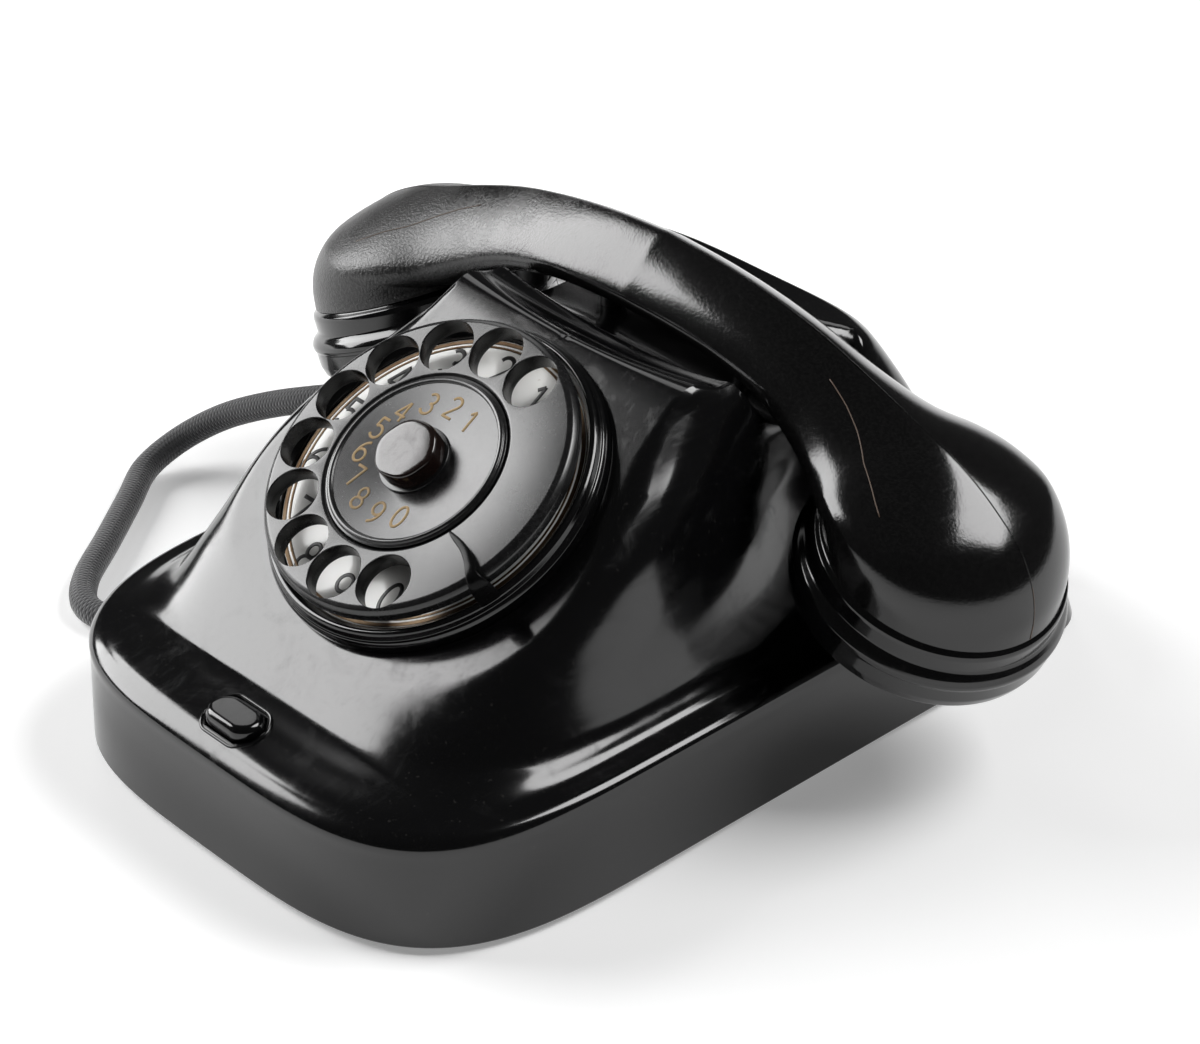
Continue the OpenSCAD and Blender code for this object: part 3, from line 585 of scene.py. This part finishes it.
def cord_mesh(name, line, sides):
    """The cord's tube, with a UV map of length and turn."""
    points, faces = rod(line, CORD_D / 2, sides, (0, 1, 0))
    mesh = bpy.data.meshes.new(name)
    mesh.from_pydata([tuple(c * MM for c in p) for p in points], [], faces)
    layer = mesh.uv_layers.new(name="along")
    step = np.linalg.norm(line[1] - line[0]) * MM
    cells = [(j, i) for j in range(len(line) - 1) for i in range(sides)]
    for polygon, (j, i) in zip(mesh.polygons, cells):
        corners = ((j, i), (j, i + 1), (j + 1, i + 1), (j + 1, i))
        for loop, (row, turn) in zip(polygon.loop_indices, corners):
            layer.data[loop].uv = (row * step, turn / sides)
    return mesh


def add_cord():
    line = np.array(smooth_line(CORD_ROUTE, 8) + coil_line() + smooth_line(TAIL_ROUTE, 8))
    length = distances(line)[-1]
    line = resampled(line, int(length / CORD_STEP) + 1)
    cord = add_piece(cord_mesh("handset_cord_braided", line, 16), None, M["braid"])
    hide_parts("handset_cord", "cord_coil", "cord_tail")
    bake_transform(cord)


# ---- Case ----------------------------------------------------------------------------------------

# One level of the case: height, half width, front edge, rear edge, depth of the side scoops.
LEVELS = [
    (27.2, HALF_W - 0.9, HALF_D - 1.0, HALF_D - 8.5, 0),
    (28.6, HALF_W - 1.3, HALF_D - 2.3, HALF_D - 9.2, 0),
    (29.5, HALF_W - 2.4, HALF_D - 3.5, HALF_D - 10.6, 0),
    (29.9, HALF_W - 4.0, HALF_D - 4.2, HALF_D - 12.5, 0),
    (30.6, HALF_W - 7.0, HALF_D - 5.5, HALF_D - 15.5, 1),
    (32.6, HALF_W - 9.5, HALF_D - 13.0, HALF_D - 18.5, 3),
    (35.6, HALF_W - 11.6, HALF_D - 20.6, HALF_D - 22.1, 6.6),
    (37.6, HALF_W - 12.2, HALF_D - 22.8, HALF_D - 23.8, 8.0),
    (42, HALF_W - 13.4, HALF_D - 26.8, HALF_D - 27, 10.7),
    (50, HALF_W - 15.2, HALF_D - 33.4, HALF_D - 31, 13.3),
    (58, HALF_W - 17.2, HALF_D - 37.6, HALF_D - 34.5, 13.6),
    (66, HALF_W - 19.8, HALF_D - 40.5, HALF_D - 38, 11.4),
    (74, HALF_W - 24.0, HALF_D - 42, HALF_D - 42, 7),
    (81, HALF_W - 29.0, HALF_D - 43, HALF_D - 46, 2.6),
    (88, HALF_W - 33.6, HALF_D - 44, HALF_D - 51, 0),
]
WALL_LEVEL = 24
SEAT_H = -12
SEAT_FRONT = DIAL.y - 43.5
TROUGH_HALF = 19.5
HORN_X = 40
PLUNGER_X, PLUNGER_HOLE = 23, 3.0
BUTTON_Y, BUTTON_TOP, BUTTON_HALF, BUTTON_R, BUTTON_GAP = -100.5, 34.5, 7.8, 4.6, 0.25


def signed_power(c, e):
    return math.copysign(abs(c) ** e, c)


def clamp01(t):
    return min(1, max(0, t))


def ease(a, b, t):
    u = clamp01((t - a) / (b - a))
    return u * u * (3 - 2 * u)


def soft_min(a, b, k):
    h = max(k - abs(a - b), 0) / k
    return min(a, b) - h * h * k / 4


def fair(rows, spacing):
    """Rows of numbers joined by smooth curves through all of them, sampled about that far apart."""
    rows = np.array(rows, float)
    gap = np.linalg.norm(np.diff(rows, axis=0), axis=1)
    slope = np.diff(rows, axis=0) / gap[:, None]
    tangent = [slope[0]]
    for i in range(1, len(gap)):
        tangent.append((gap[i - 1] * slope[i] + gap[i] * slope[i - 1]) / (gap[i - 1] + gap[i]))
    tangent.append(slope[-1])
    out = []
    for i, h in enumerate(gap):
        count = max(1, round(h / spacing))
        for t in np.arange(count) / count:
            out.append(
                (2 * t**3 - 3 * t**2 + 1) * rows[i] + (t**3 - 2 * t**2 + t) * h * tangent[i]
                + (3 * t**2 - 2 * t**3) * rows[i + 1] + (t**3 - t**2) * h * tangent[i + 1]
            )
    out.append(rows[-1])
    return out


def right_side(w, front, rear, steps):
    """The right half of the outline, from the front round to the rear: a corner, a side, a corner."""
    corner_front, corner_rear = w + 1.2, w * 0.36
    side_front, side_rear = -front + corner_front, rear - corner_rear
    turns = [(i + 0.5) * math.pi / 2 / steps for i in range(steps)]
    points = [
        (w * math.sin(a) ** (2 / 3.6), side_front - corner_front * math.cos(a) ** (2 / 3.6)) for a in turns
    ]
    side_steps = steps * 3 // 2
    points += [(w, side_front + (side_rear - side_front) * (i + 0.5) / side_steps) for i in range(side_steps)]
    points += [(w * math.cos(a) ** (2 / 3), side_rear + corner_rear * math.sin(a) ** (2 / 3)) for a in turns]
    return points


def outline(w, front, rear, scoop, steps):
    right = right_side(w, front, rear, steps)
    plain = right + [(-x, y) for x, y in reversed(right)]
    return [(x * (1 - scoop * math.exp(-(((y - HANDSET_Y) / 30) ** 2)) / w), y) for x, y in plain]


def case_top(x, y, z):
    seat_y = DIAL.y - SEAT_H * math.sin(DIAL_TILT)
    seat_z = DIAL.z + SEAT_H * math.cos(DIAL_TILT)
    seat = seat_z + math.tan(DIAL_TILT) * (max(y, SEAT_FRONT) - seat_y)
    to_horn = (min(abs(x), 42) / HORN_X) ** 2
    edge_z, trough_z = 83.5 + 4.6 * to_horn, 77.6 - 3.4 * to_horn
    edge = edge_z + 10 * (1 - ease(-8, 12, y)) - 2 * ease(25, 50, y)
    trough = trough_z + (edge_z + 1 - trough_z) * (abs(y - HANDSET_Y) / TROUGH_HALF) ** 4
    seat_rounding, rounding = 4 + 5 * ease(-88, -72, y), 1.6 + 3.4 * to_horn
    return soft_min(soft_min(soft_min(z, seat, seat_rounding), edge, rounding), trough, rounding)


def case_rings(grow, steps, spacing, lid_step):
    """Rings of points from the foot to the middle of the lid."""
    foot = (HALF_W, HALF_D, HALF_D, 0)
    share = (WALL_LEVEL - FOOT_GAP) / (LEVELS[0][0] - FOOT_GAP)
    wall = [f + (top - f) * share for f, top in zip(foot, LEVELS[0][1:])]
    rows = [(FOOT_GAP + 0.5, *foot), (WALL_LEVEL, *wall), *LEVELS]
    rings = [[(x, y, FOOT_GAP) for x, y in outline(*(v + grow - 0.35 for v in foot[:3]), 0, steps)]]
    for z, w, front, rear, scoop in fair(rows, spacing):
        plan = outline(w + grow, front + grow, rear + grow, max(scoop, 0), steps)
        rings.append([(x, y, case_top(x, y, z) + (grow if z > 25 else 0)) for x, y in plan])
    z, w, front, rear, _ = LEVELS[-1]
    middle = (rear - front) / 2
    plan = outline(w + grow, front + grow, rear + grow, 0, steps)
    for k in np.arange(1 - lid_step, lid_step / 2, -lid_step):
        level = z + 8 * clamp01((1 - k) / 0.06)
        ring = []
        for x, y in plan:
            x, y = x * k, middle + (y - middle) * k
            ring.append((x, y, case_top(x, y, level) + grow))
        rings.append(ring)
    return rings


def shell_part(rings, start):
    steps, rows = len(rings[0]), len(rings)
    faces = grid_faces(rows, steps, start=start)
    faces.append(tuple(range(start + (rows - 1) * steps, start + rows * steps)))
    return [p for ring in rings for p in ring], faces


def button_plan(grow):
    """The button's outline: a bar with half an octagon at either end."""
    r, reach = (BUTTON_R + grow) / math.cos(math.pi / 8), BUTTON_HALF - BUTTON_R
    ends = [(k + 0.5) * math.pi / 4 - math.pi / 2 for k in range(4)]
    right = [(reach + r * math.cos(a), r * math.sin(a)) for a in ends]
    return right + [(-x, -y) for x, y in right]


def add_case():
    steps = 40
    points, faces = shell_part(case_rings(0, steps, 1.0, 0.02), 0)
    start = len(points)
    more, more_faces = shell_part(case_rings(-WALL, steps, 6, 0.06), start)
    points += more
    faces += more_faces
    around = len(outline(HALF_W, HALF_D, HALF_D, 0, steps))
    faces += [(i, (i + 1) % around, start + (i + 1) % around, start + i) for i in range(around)]
    case = add_mesh("case_moulding", points, faces, "case", M["case"])
    hole = lathe([(0, -30), (38, -30), (38, 30), (0, 30)], 96, False)
    cutters = [placed(hole, to_dial @ Matrix.Translation((0, 0, SEAT_H)))]
    pin = lathe([(0, -20), (PLUNGER_HOLE, -20), (PLUNGER_HOLE, 20), (0, 20)], 48, False)
    for x in (-PLUNGER_X, PLUNGER_X):
        cutters.append(placed(pin, Matrix.Translation((x, HANDSET_Y, 78))))
    slot = stacked([[(x, y, z) for x, y in button_plan(BUTTON_GAP)] for z in (-20, 20)])
    cutters.append(placed(slot, Matrix.Translation((0, BUTTON_Y, BUTTON_TOP))))
    cut(case, cutters)
    sharp_edges(case, 32)
    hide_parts("case_shell")


# ---- Front button --------------------------------------------------------------------------------


def surface_z(x, y):
    """Height of the case's outside at a point of the front apron."""
    def inside(row):
        z, w, front, rear, _ = row
        corner = w + 1.2
        side_front = -front + corner
        if y >= side_front:
            return abs(x) <= w
        return (abs(x) / w) ** 3.6 + (abs(y - side_front) / corner) ** 3.6 <= 1
    height = LEVELS[0][0]
    for row in fair(LEVELS, 0.1):
        if inside(row):
            height = row[0]
    return height


def add_button():
    round_plan = smooth_loop(button_plan(0), 6)
    # One ring of the button: how far inwards, height over the button's top.
    profile = [
        (0, -7.9), (0, -1.5), (0.1, -1.15), (0.4, -0.6), (0.8, -0.2), (1.1, -0.05), (1.8, 0), (3.4, 0.05),
    ]
    rings = []
    for inset, z in profile:
        rings.append([(x, y + BUTTON_Y, z + BUTTON_TOP) for x, y in shrink(round_plan, inset)])
    points, faces = stacked(rings)
    button = add_mesh("front_button_lozenge", points, faces, "button", M["button"])
    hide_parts("front_button")
    path = [(x, y + BUTTON_Y) for x, y in shrink(round_plan, -1.1)]
    loop = [(x, y, surface_z(x, y) - 0.1) for x, y in path]
    points, faces = ring_tube(loop, 0.4, 12)
    add_mesh("button_collar", points, faces, "case", M["case"])


def shrink(plan, by):
    """The plan moved inwards by that much (outwards where negative), as measured from its middle."""
    half = max(x for x, _ in plan), max(y for _, y in plan)
    return [(x * (half[0] - by) / half[0], y * (half[1] - by) / half[1]) for x, y in plan]


def smooth_loop(plan, per):
    """A closed plan with its corners softened."""
    plan = [np.array(p, float) for p in plan]
    out = []
    for i, here in enumerate(plan):
        before, after = plan[i - 1], plan[(i + 1) % len(plan)]
        u, v = before - here, after - here
        reach = 0.42 * min(np.linalg.norm(u), np.linalg.norm(v))
        a, b = here + u / np.linalg.norm(u) * reach, here + v / np.linalg.norm(v) * reach
        for k in range(per):
            t = k / (per - 1)
            out.append(tuple((1 - t) ** 2 * a + 2 * t * (1 - t) * here + t * t * b))
    return out


# ---- Handset -------------------------------------------------------------------------------------

# Half of the handset: inner point, outer point (distance from the middle, height under the top of
# the grip), half width.
STATIONS = [
    (0, 19, 0, 0, 13.5), (14, 19.4, 15, 0.9, 13.4), (27.2, 20.7, 30, 2.7, 13.4), (44, 25.3, 50, 6.8, 14.2),
    (53.5, 30, 63, 11, 16), (60.5, 34.3, 78, 16.6, 19.5), (62.8, 34.8, 92, 21.8, 23.4),
    (63.6, 34.8, 104, 29, 26.4), (64, 34.8, 112.5, 37, 28), (64, 34.8, 116.4, 45.5, 28.6),
    (63.9, 34.7, 117, 52, 28.7), (63.5, 34.7, 116.2, 57.5, 28.7),
]


def bulb_share(station):
    """How far the section has turned from the peaked grip into the round bulb."""
    return clamp01((station[2] - 60) / 50) ** 1.6


def station_point(station, side, a):
    """A point of one section of the handset, at the angle a round it: peaked on top of the grip."""
    inner = np.array((station[0] * side, GRIP_TOP - station[1]))
    outer = np.array((station[2] * side, GRIP_TOP - station[3]))
    end = bulb_share(station)
    low = 0.66 - 0.16 * end
    mid = outer + (inner - outer) * low
    top = math.sin(a) > 0
    u = signed_power(math.cos(a), 1.67 - 0.67 * end if top else 0.87 + 0.13 * end)
    v = signed_power(math.sin(a), 1.43 - 0.43 * end if top else 0.87 + 0.13 * end)
    x, z = mid + (outer - inner) * (low if top else 1 - low) * v
    return HANDSET_X + x, HANDSET_Y + station[4] * u, z


def add_handset():
    steps = 120
    half = fair(STATIONS, 1.6)
    turns = [2 * math.pi * i / steps for i in range(steps)]
    rings = [[station_point(s, -1, a) for a in turns] for s in reversed(half[1:])]
    rings += [[station_point(s, 1, a) for a in turns] for s in half]
    points, faces = stacked(rings)
    body = add_mesh("handset_grip", points, faces, "handset", M["handset"])
    sharp_edges(body, 40)
    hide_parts("handset_body")
    ridge = [ring[steps // 4] for ring in rings]
    points, faces = rod(ridge[8:-2], 0.16, 8)
    add_mesh("handset_mould_seam", points, faces, "handset", M["handset"])
    # Thin tan rods along the top of each end and along the crease of the bulb: painted highlight lines where
    # the sharp edges catch light.
    for side, name in ((-1, "left"), (1, "right")):
        line = [station_point(s, side, math.pi / 2) for s in half if s[2] > 115.5]
        points, faces = rod(line, 0.16, 8)
        add_mesh(f"handset_end_highlight_line_{name}", points, faces, "handset", M["highlight_paint"])
        points, faces = rod(crease_line(half, side), 0.14, 8)
        add_mesh(f"handset_crease_highlight_line_{name}", points, faces, "handset", M["highlight_paint"])


# Where the moulded crease crosses the front of the bulb: distance along, share of the half width. A tan
# painted highlight line is drawn along it.
CREASE = [(60, 0.36), (68, 0.43), (75, 0.52), (84, 0.67), (96, 0.79), (101, 0.83)]


def crease_line(half, side):
    along, share = zip(*CREASE)
    line = []
    for s in half:
        if along[0] <= s[2] <= along[-1] and s[3] < 40:
            u = float(np.interp(s[2], along, share)) ** (1 / (1.67 - 0.67 * bulb_share(s)))
            line.append(station_point(s, side, math.pi - math.acos(u)))
    return line


# ---- Caps of the handset -------------------------------------------------------------------------

CAP_PROFILE = [
    (24.4, 0.1), (28.4, 0.1), (28.7, 0.5), (29.7, 1), (30, 2), (30, 5.6), (30.4, 6.2), (31.6, 7.2),
    (32.3, 8.4), (32.3, 9.6), (31.9, 10.2), (31.9, 14), (31.2, 16.4), (29.4, 18.2), (26.8, 18.8),
    (20, 18), (0.01, 17.4), (0.01, 14.6), (20, 15), (26, 14), (27, 10), (24.4, 8),
]
MOUTH_HOLES = [(0, 1), (7, 6), (14, 12)]
EAR_HOLES = [(0, 1), (8, 6)]


def add_cap(name, side, circles):
    points, faces = lathe(rounded(CAP_PROFILE, 0.35), 144)
    cap = add_mesh(f"{name}_turned", points, faces, "handset", M["cap"], cap_matrix(side))
    hole = lathe([(0, 10), (1.5, 10), (1.5, 17.2), (2.1, 18.4), (2.1, 24), (0, 24)], 24, False)
    cutters = []
    for radius, count in circles:
        for i in range(count):
            a = 2 * math.pi * i / count
            place = Matrix.Translation((radius * math.cos(a), radius * math.sin(a), 0))
            cutters.append(placed(hole, cap_matrix(side) @ place))
    cut(cap, cutters)
    sharp_edges(cap, 35)
    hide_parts(name)


# ---- Dial ----------------------------------------------------------------------------------------

RING_PROFILE = [
    (38.3, -11.8), (42.4, -11.8), (42.4, -9.4), (41.9, -8.5), (41.4, -8.3), (41.2, -6.8), (40.6, -6.2),
    (39.8, -6.1), (38.3, -7.6),
]
WHEEL_PROFILE = [
    (4.4, -3.6), (23, -3.6), (23, -4.4), (38.2, -4.6), (39, -3.6), (39, -1.6), (38.3, -0.5), (37.2, 0),
    (23.4, 0), (22.6, -0.6), (22.6, -1.6), (4.4, -1.6),
]
DISC_PROFILE = [
    (3, -1.6), (22.5, -1.6), (22.5, 0.1), (21.9, 0.25), (21.7, 0.7), (21.2, 0.85), (20.7, 0.7), (20.5, 0.3),
    (3, 0.35),
]
PLATE_H = -8.2
NUMERAL_R, NUMERAL_SIZE = 14.8, 5.4
PLATE_NUMERAL_SIZE = 7.4
KNOB_R = 8.7

# Strokes of the digits in a box one unit high and 0.6 wide, drawn as arcs (centre, radii, from, to in
# degrees) or straight lines through points.
DIGITS = {
    "0": [("arc", 0.3, 0.5, 0.26, 0.5, 0, 360)],
    "1": [("line", (0.12, 0.8), (0.33, 1.0), (0.33, 0.0))],
    "2": [("arc", 0.3, 0.74, 0.26, 0.26, 165, -35), ("line", (0.51, 0.59), (0.05, 0.0), (0.57, 0.0))],
    "3": [("arc", 0.28, 0.76, 0.24, 0.24, 150, -85), ("arc", 0.28, 0.27, 0.28, 0.27, 88, -155)],
    "4": [("line", (0.42, 0.0), (0.42, 1.0), (0.02, 0.28), (0.58, 0.28))],
    "5": [("line", (0.52, 1.0), (0.13, 1.0), (0.09, 0.55)), ("arc", 0.28, 0.31, 0.28, 0.31, 130, -150)],
    "6": [("arc", 0.3, 0.3, 0.27, 0.3, 0, 360), ("arc", 0.6, 0.35, 0.57, 0.68, 176, 106)],
    "7": [("line", (0.05, 1.0), (0.55, 1.0), (0.22, 0.0))],
    "8": [("arc", 0.3, 0.75, 0.22, 0.25, 0, 360), ("arc", 0.3, 0.26, 0.28, 0.26, 0, 360)],
    "9": [("arc", 0.3, 0.7, 0.27, 0.3, 0, 360), ("arc", 0.0, 0.65, 0.57, 0.68, -4, -74)],
}


def digit_strokes(digit):
    """Each stroke of a digit as a list of flat points, middle of the box at the origin."""
    strokes = []
    for kind, *values in DIGITS[digit]:
        if kind == "line":
            points = values
        else:
            cx, cy, rx, ry, start, stop = values
            count = max(8, round(abs(stop - start) / 12))
            turns = [math.radians(start + (stop - start) * i / count) for i in range(count + 1)]
            points = [(cx + rx * math.cos(a), cy + ry * math.sin(a)) for a in turns]
        strokes.append([(x - 0.3, y - 0.5) for x, y in points])
    return strokes


def numerals(radius, height, level, thickness, flatness, shift=(0, 0)):
    """All ten digits, upright, one beside each finger hole: points and faces in the dial's frame."""
    points, faces = [], []
    for i in range(10):
        a = math.radians(FIRST_HOLE + i * HOLE_STEP)
        middle = np.array((radius * math.cos(a), radius * math.sin(a))) + shift
        for stroke in digit_strokes(str((i + 1) % 10)):
            line = [(*(middle + np.array(p) * height), 0) for p in stroke]
            count = max(2, round(distances(line)[-1] / 0.25) + 1)
            made, made_faces = rod(resampled(line, count), thickness, 8)
            start = len(points)
            points += [(x, y, level + z * flatness) for x, y, z in made]
            faces += [tuple(k + start for k in face) for face in made_faces]
    return points, faces


def turned(name, profile, body, material, round_by):
    """A turned piece of the dial."""
    points, faces = lathe(rounded(profile, round_by), 160)
    return add_mesh(name, points, faces, body, material, to_dial)


def add_wheel():
    wheel = turned("finger_wheel_disc", WHEEL_PROFILE, "dial", M["dial"], 0.3)
    r = HOLE_R
    profile = [(0, -9), (r, -9), (r, -0.3), (r + 0.05, -0.15), (r + 0.18, 0.02), (r + 0.2, 6), (0, 6)]
    hole = lathe(profile, 72, False)
    cutters = []
    for i in range(10):
        a = math.radians(FIRST_HOLE + i * HOLE_STEP)
        place = Matrix.Translation((HOLE_RING * math.cos(a), HOLE_RING * math.sin(a), 0))
        cutters.append(placed(hole, to_dial @ place))
    cut(wheel, cutters)
    sharp_edges(wheel, 30)
    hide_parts("finger_wheel")


def add_knob():
    plan = []
    for k in range(6):
        a = math.radians(8 + 60 * k)
        plan.append((KNOB_R * math.cos(a), KNOB_R * math.sin(a)))
    plan = smooth_loop(plan, 7)
    rings = []
    for inset, z in [(0, 0.6), (0, 4.7), (0.1, 5.05), (0.35, 5.3), (0.7, 5.42), (1.6, 5.46), (5, 5.46)]:
        share = (KNOB_R - inset) / KNOB_R
        rings.append([(x * share, y * share, z) for x, y in plan])
    points, faces = stacked(rings)
    knob = add_mesh("dial_hexagon_knob", points, faces, "dial", M["knob"], to_dial)
    sharp_edges(knob, 35)
    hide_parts("center_knob")
    washer = [(3, 0.2), (KNOB_R, 0.2), (KNOB_R, 0.9), (3, 0.9)]
    turned("dial_knob_washer", washer, "dial", M["dial"], 0.2)


def add_stop():
    """The finger stop: a slim claw that rises from the ring, bends over the wheel and narrows."""
    # One section of the claw: distance from the dial's axis, height, half width, half thickness.
    sections = [
        (40.9, -6.4, 2.6, 0.7), (40.9, -2, 2.4, 0.7), (40.8, 0.2, 2.1, 0.7), (40.2, 1.5, 1.7, 0.65),
        (38.9, 2.0, 1.35, 0.65), (36, 2.0, 1.05, 0.65), (32, 1.8, 0.95, 0.6), (28.5, 1.6, 0.8, 0.55),
        (26, 1.45, 0.5, 0.4), (24.6, 1.35, 0.2, 0.2),
    ]
    rows = fair(sections, 0.6)
    middle = np.array([(r[0], r[1]) for r in rows])
    along = np.gradient(middle, axis=0)
    along /= np.linalg.norm(along, axis=1)[:, None]
    rings = []
    for (r, h), (tr, th), row in zip(middle, along, rows):
        ring = []
        bow = 1.1 * math.sin(math.pi * clamp01((40 - r) / 15.4)) ** 1.5
        for i in range(20):
            a = 2 * math.pi * i / 20
            across = row[2] * signed_power(math.cos(a), 0.6)
            up = row[3] * signed_power(math.sin(a), 0.6)
            ring.append((r - th * up, across + bow, h + tr * up))
        rings.append(ring)
    points, faces = stacked(rings)
    place = to_dial @ Matrix.Rotation(STOP_ANGLE, 4, "Z")
    stop = add_mesh("finger_stop_claw", points, faces, "case", M["stop"], place)
    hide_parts("finger_stop")


def add_dial():
    ring = turned("dial_ring_stepped", RING_PROFILE, "case", M["bezel"], 0.3)
    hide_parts("dial_ring")
    profile = [(12, -9.2), (38, -9.2), (38, PLATE_H), (12, PLATE_H)]
    plate = turned("number_plate_enamelled", profile, "case", M["enamel"], 0.15)
    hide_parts("number_plate")
    for name, r, half in (("outer", 37.3, 0.5), ("inner", 36.0, 0.28)):
        low, high = PLATE_H - 0.1, PLATE_H + 0.12
        profile = [(r - half, low), (r + half, low), (r + half, high), (r - half, high)]
        turned(f"number_plate_rim_{name}", profile, "case", M["rim"], 0.08)
    points, faces = numerals(HOLE_RING, PLATE_NUMERAL_SIZE, PLATE_H, 0.55, 0.12, (-2.6, -0.8))
    add_mesh("number_plate_numerals", points, faces, "case", M["black"], to_dial)
    add_wheel()
    disc = turned("number_disc_turned", DISC_PROFILE, "dial", M["disc"], 0.15)
    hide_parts("number_disc")
    points, faces = numerals(NUMERAL_R, NUMERAL_SIZE, 0.33, 0.36, 0.3)
    add_mesh("number_disc_numerals", points, faces, "dial", M["gold"], to_dial)
    add_knob()
    add_stop()


# ---- Materials of the CAD nodes that stay --------------------------------------------------------

NODE_MATERIALS = {
    "steel": (
        "base_plate base_screws dial_frame dial_shaft dial_spring governor hook_bracket hook_axle hook_lever "
        "button_spring ringer_frame ringer_yoke clapper_pin"
    ),
    "nickel": "gong_left gong_right",
    "brass": (
        "governor_cup impulse_contacts main_gear speed_gear hook_contacts button_contacts clapper gong_screws"
    ),
    "winding": "ringer_coils induction_coil",
    "rubber": "rubber_feet",
    "ebonite": (
        "impulse_cam plunger_left plunger_right terminal_block line_inlet cord_gland_case cord_gland_handset"
    ),
    "tin": "capacitor transmitter_capsule receiver_capsule",
}


def finish_nodes():
    for key, names in NODE_MATERIALS.items():
        for name in names.split():
            node = NODES[name]
            node.data.materials.clear()
            node.data.materials.append(M[key])


# ---- Stage and light -----------------------------------------------------------------------------

LIGHT_DISTANCE = 1.5


def add_stage():
    mesh = bpy.data.meshes.new("floor")
    half = 4.0
    corners = [(-half, -half, 0), (half, -half, 0), (half, half, 0), (-half, half, 0)]
    mesh.from_pydata(corners, [], [(0, 1, 2, 3)])
    floor = bpy.data.objects.new("floor", mesh)
    bpy.context.scene.collection.objects.link(floor)
    s = Shader("floor_white")
    s.into("Base Color", s.mix(s.noise(3), (0.90, 0.90, 0.90), (0.92, 0.92, 0.92)))
    s.set(Roughness=0.9)
    s.bsdf.inputs["Specular IOR Level"].default_value = 0.1
    s.bsdf.inputs["Emission Color"].default_value = (1, 1, 1, 1)
    s.bsdf.inputs["Emission Strength"].default_value = 0.25
    mesh.materials.append(s.material)


def area_light(name, direction, size, power):
    """A softbox that faces the telephone from that direction."""
    target = Vector((0, 0, 0.05))
    place = target + Vector(direction).normalized() * LIGHT_DISTANCE
    data = bpy.data.lights.new(name, "AREA")
    data.shape = "RECTANGLE"
    data.size, data.size_y = size
    data.energy = power
    obj = bpy.data.objects.new(name, data)
    bpy.context.scene.collection.objects.link(obj)
    obj.location = place
    obj.rotation_mode = "QUATERNION"
    obj.rotation_quaternion = (target - place).to_track_quat("-Z", "Y")


def add_lights():
    scene = bpy.context.scene
    world = bpy.data.worlds.new("studio")
    scene.world = world
    world.use_nodes = True
    background = world.node_tree.nodes["Background"]
    background.inputs["Color"].default_value = (1, 1, 1, 1)
    background.inputs["Strength"].default_value = 0.04
    area_light("softbox_front_left", (-0.807, -0.359, 0.469), (0.95, 1.02), 26)
    area_light("softbox_back_left", (-0.702, 0.358, 0.616), (0.4, 0.75), 1.4)
    area_light("softbox_back_right", (0.40, 0.52, 0.80), (0.8, 0.75), 17)
    scene.view_settings.view_transform = "Standard"
    scene.view_settings.look = "None"
    scene.view_settings.exposure = 0.0


# ---- Put together --------------------------------------------------------------------------------

add_camera()
add_cord()
add_case()
add_button()
add_handset()
add_cap("mouthpiece_cap", -1, MOUTH_HOLES)
add_cap("earpiece_cap", 1, EAR_HOLES)
add_dial()
finish_nodes()
add_stage()
add_lights()
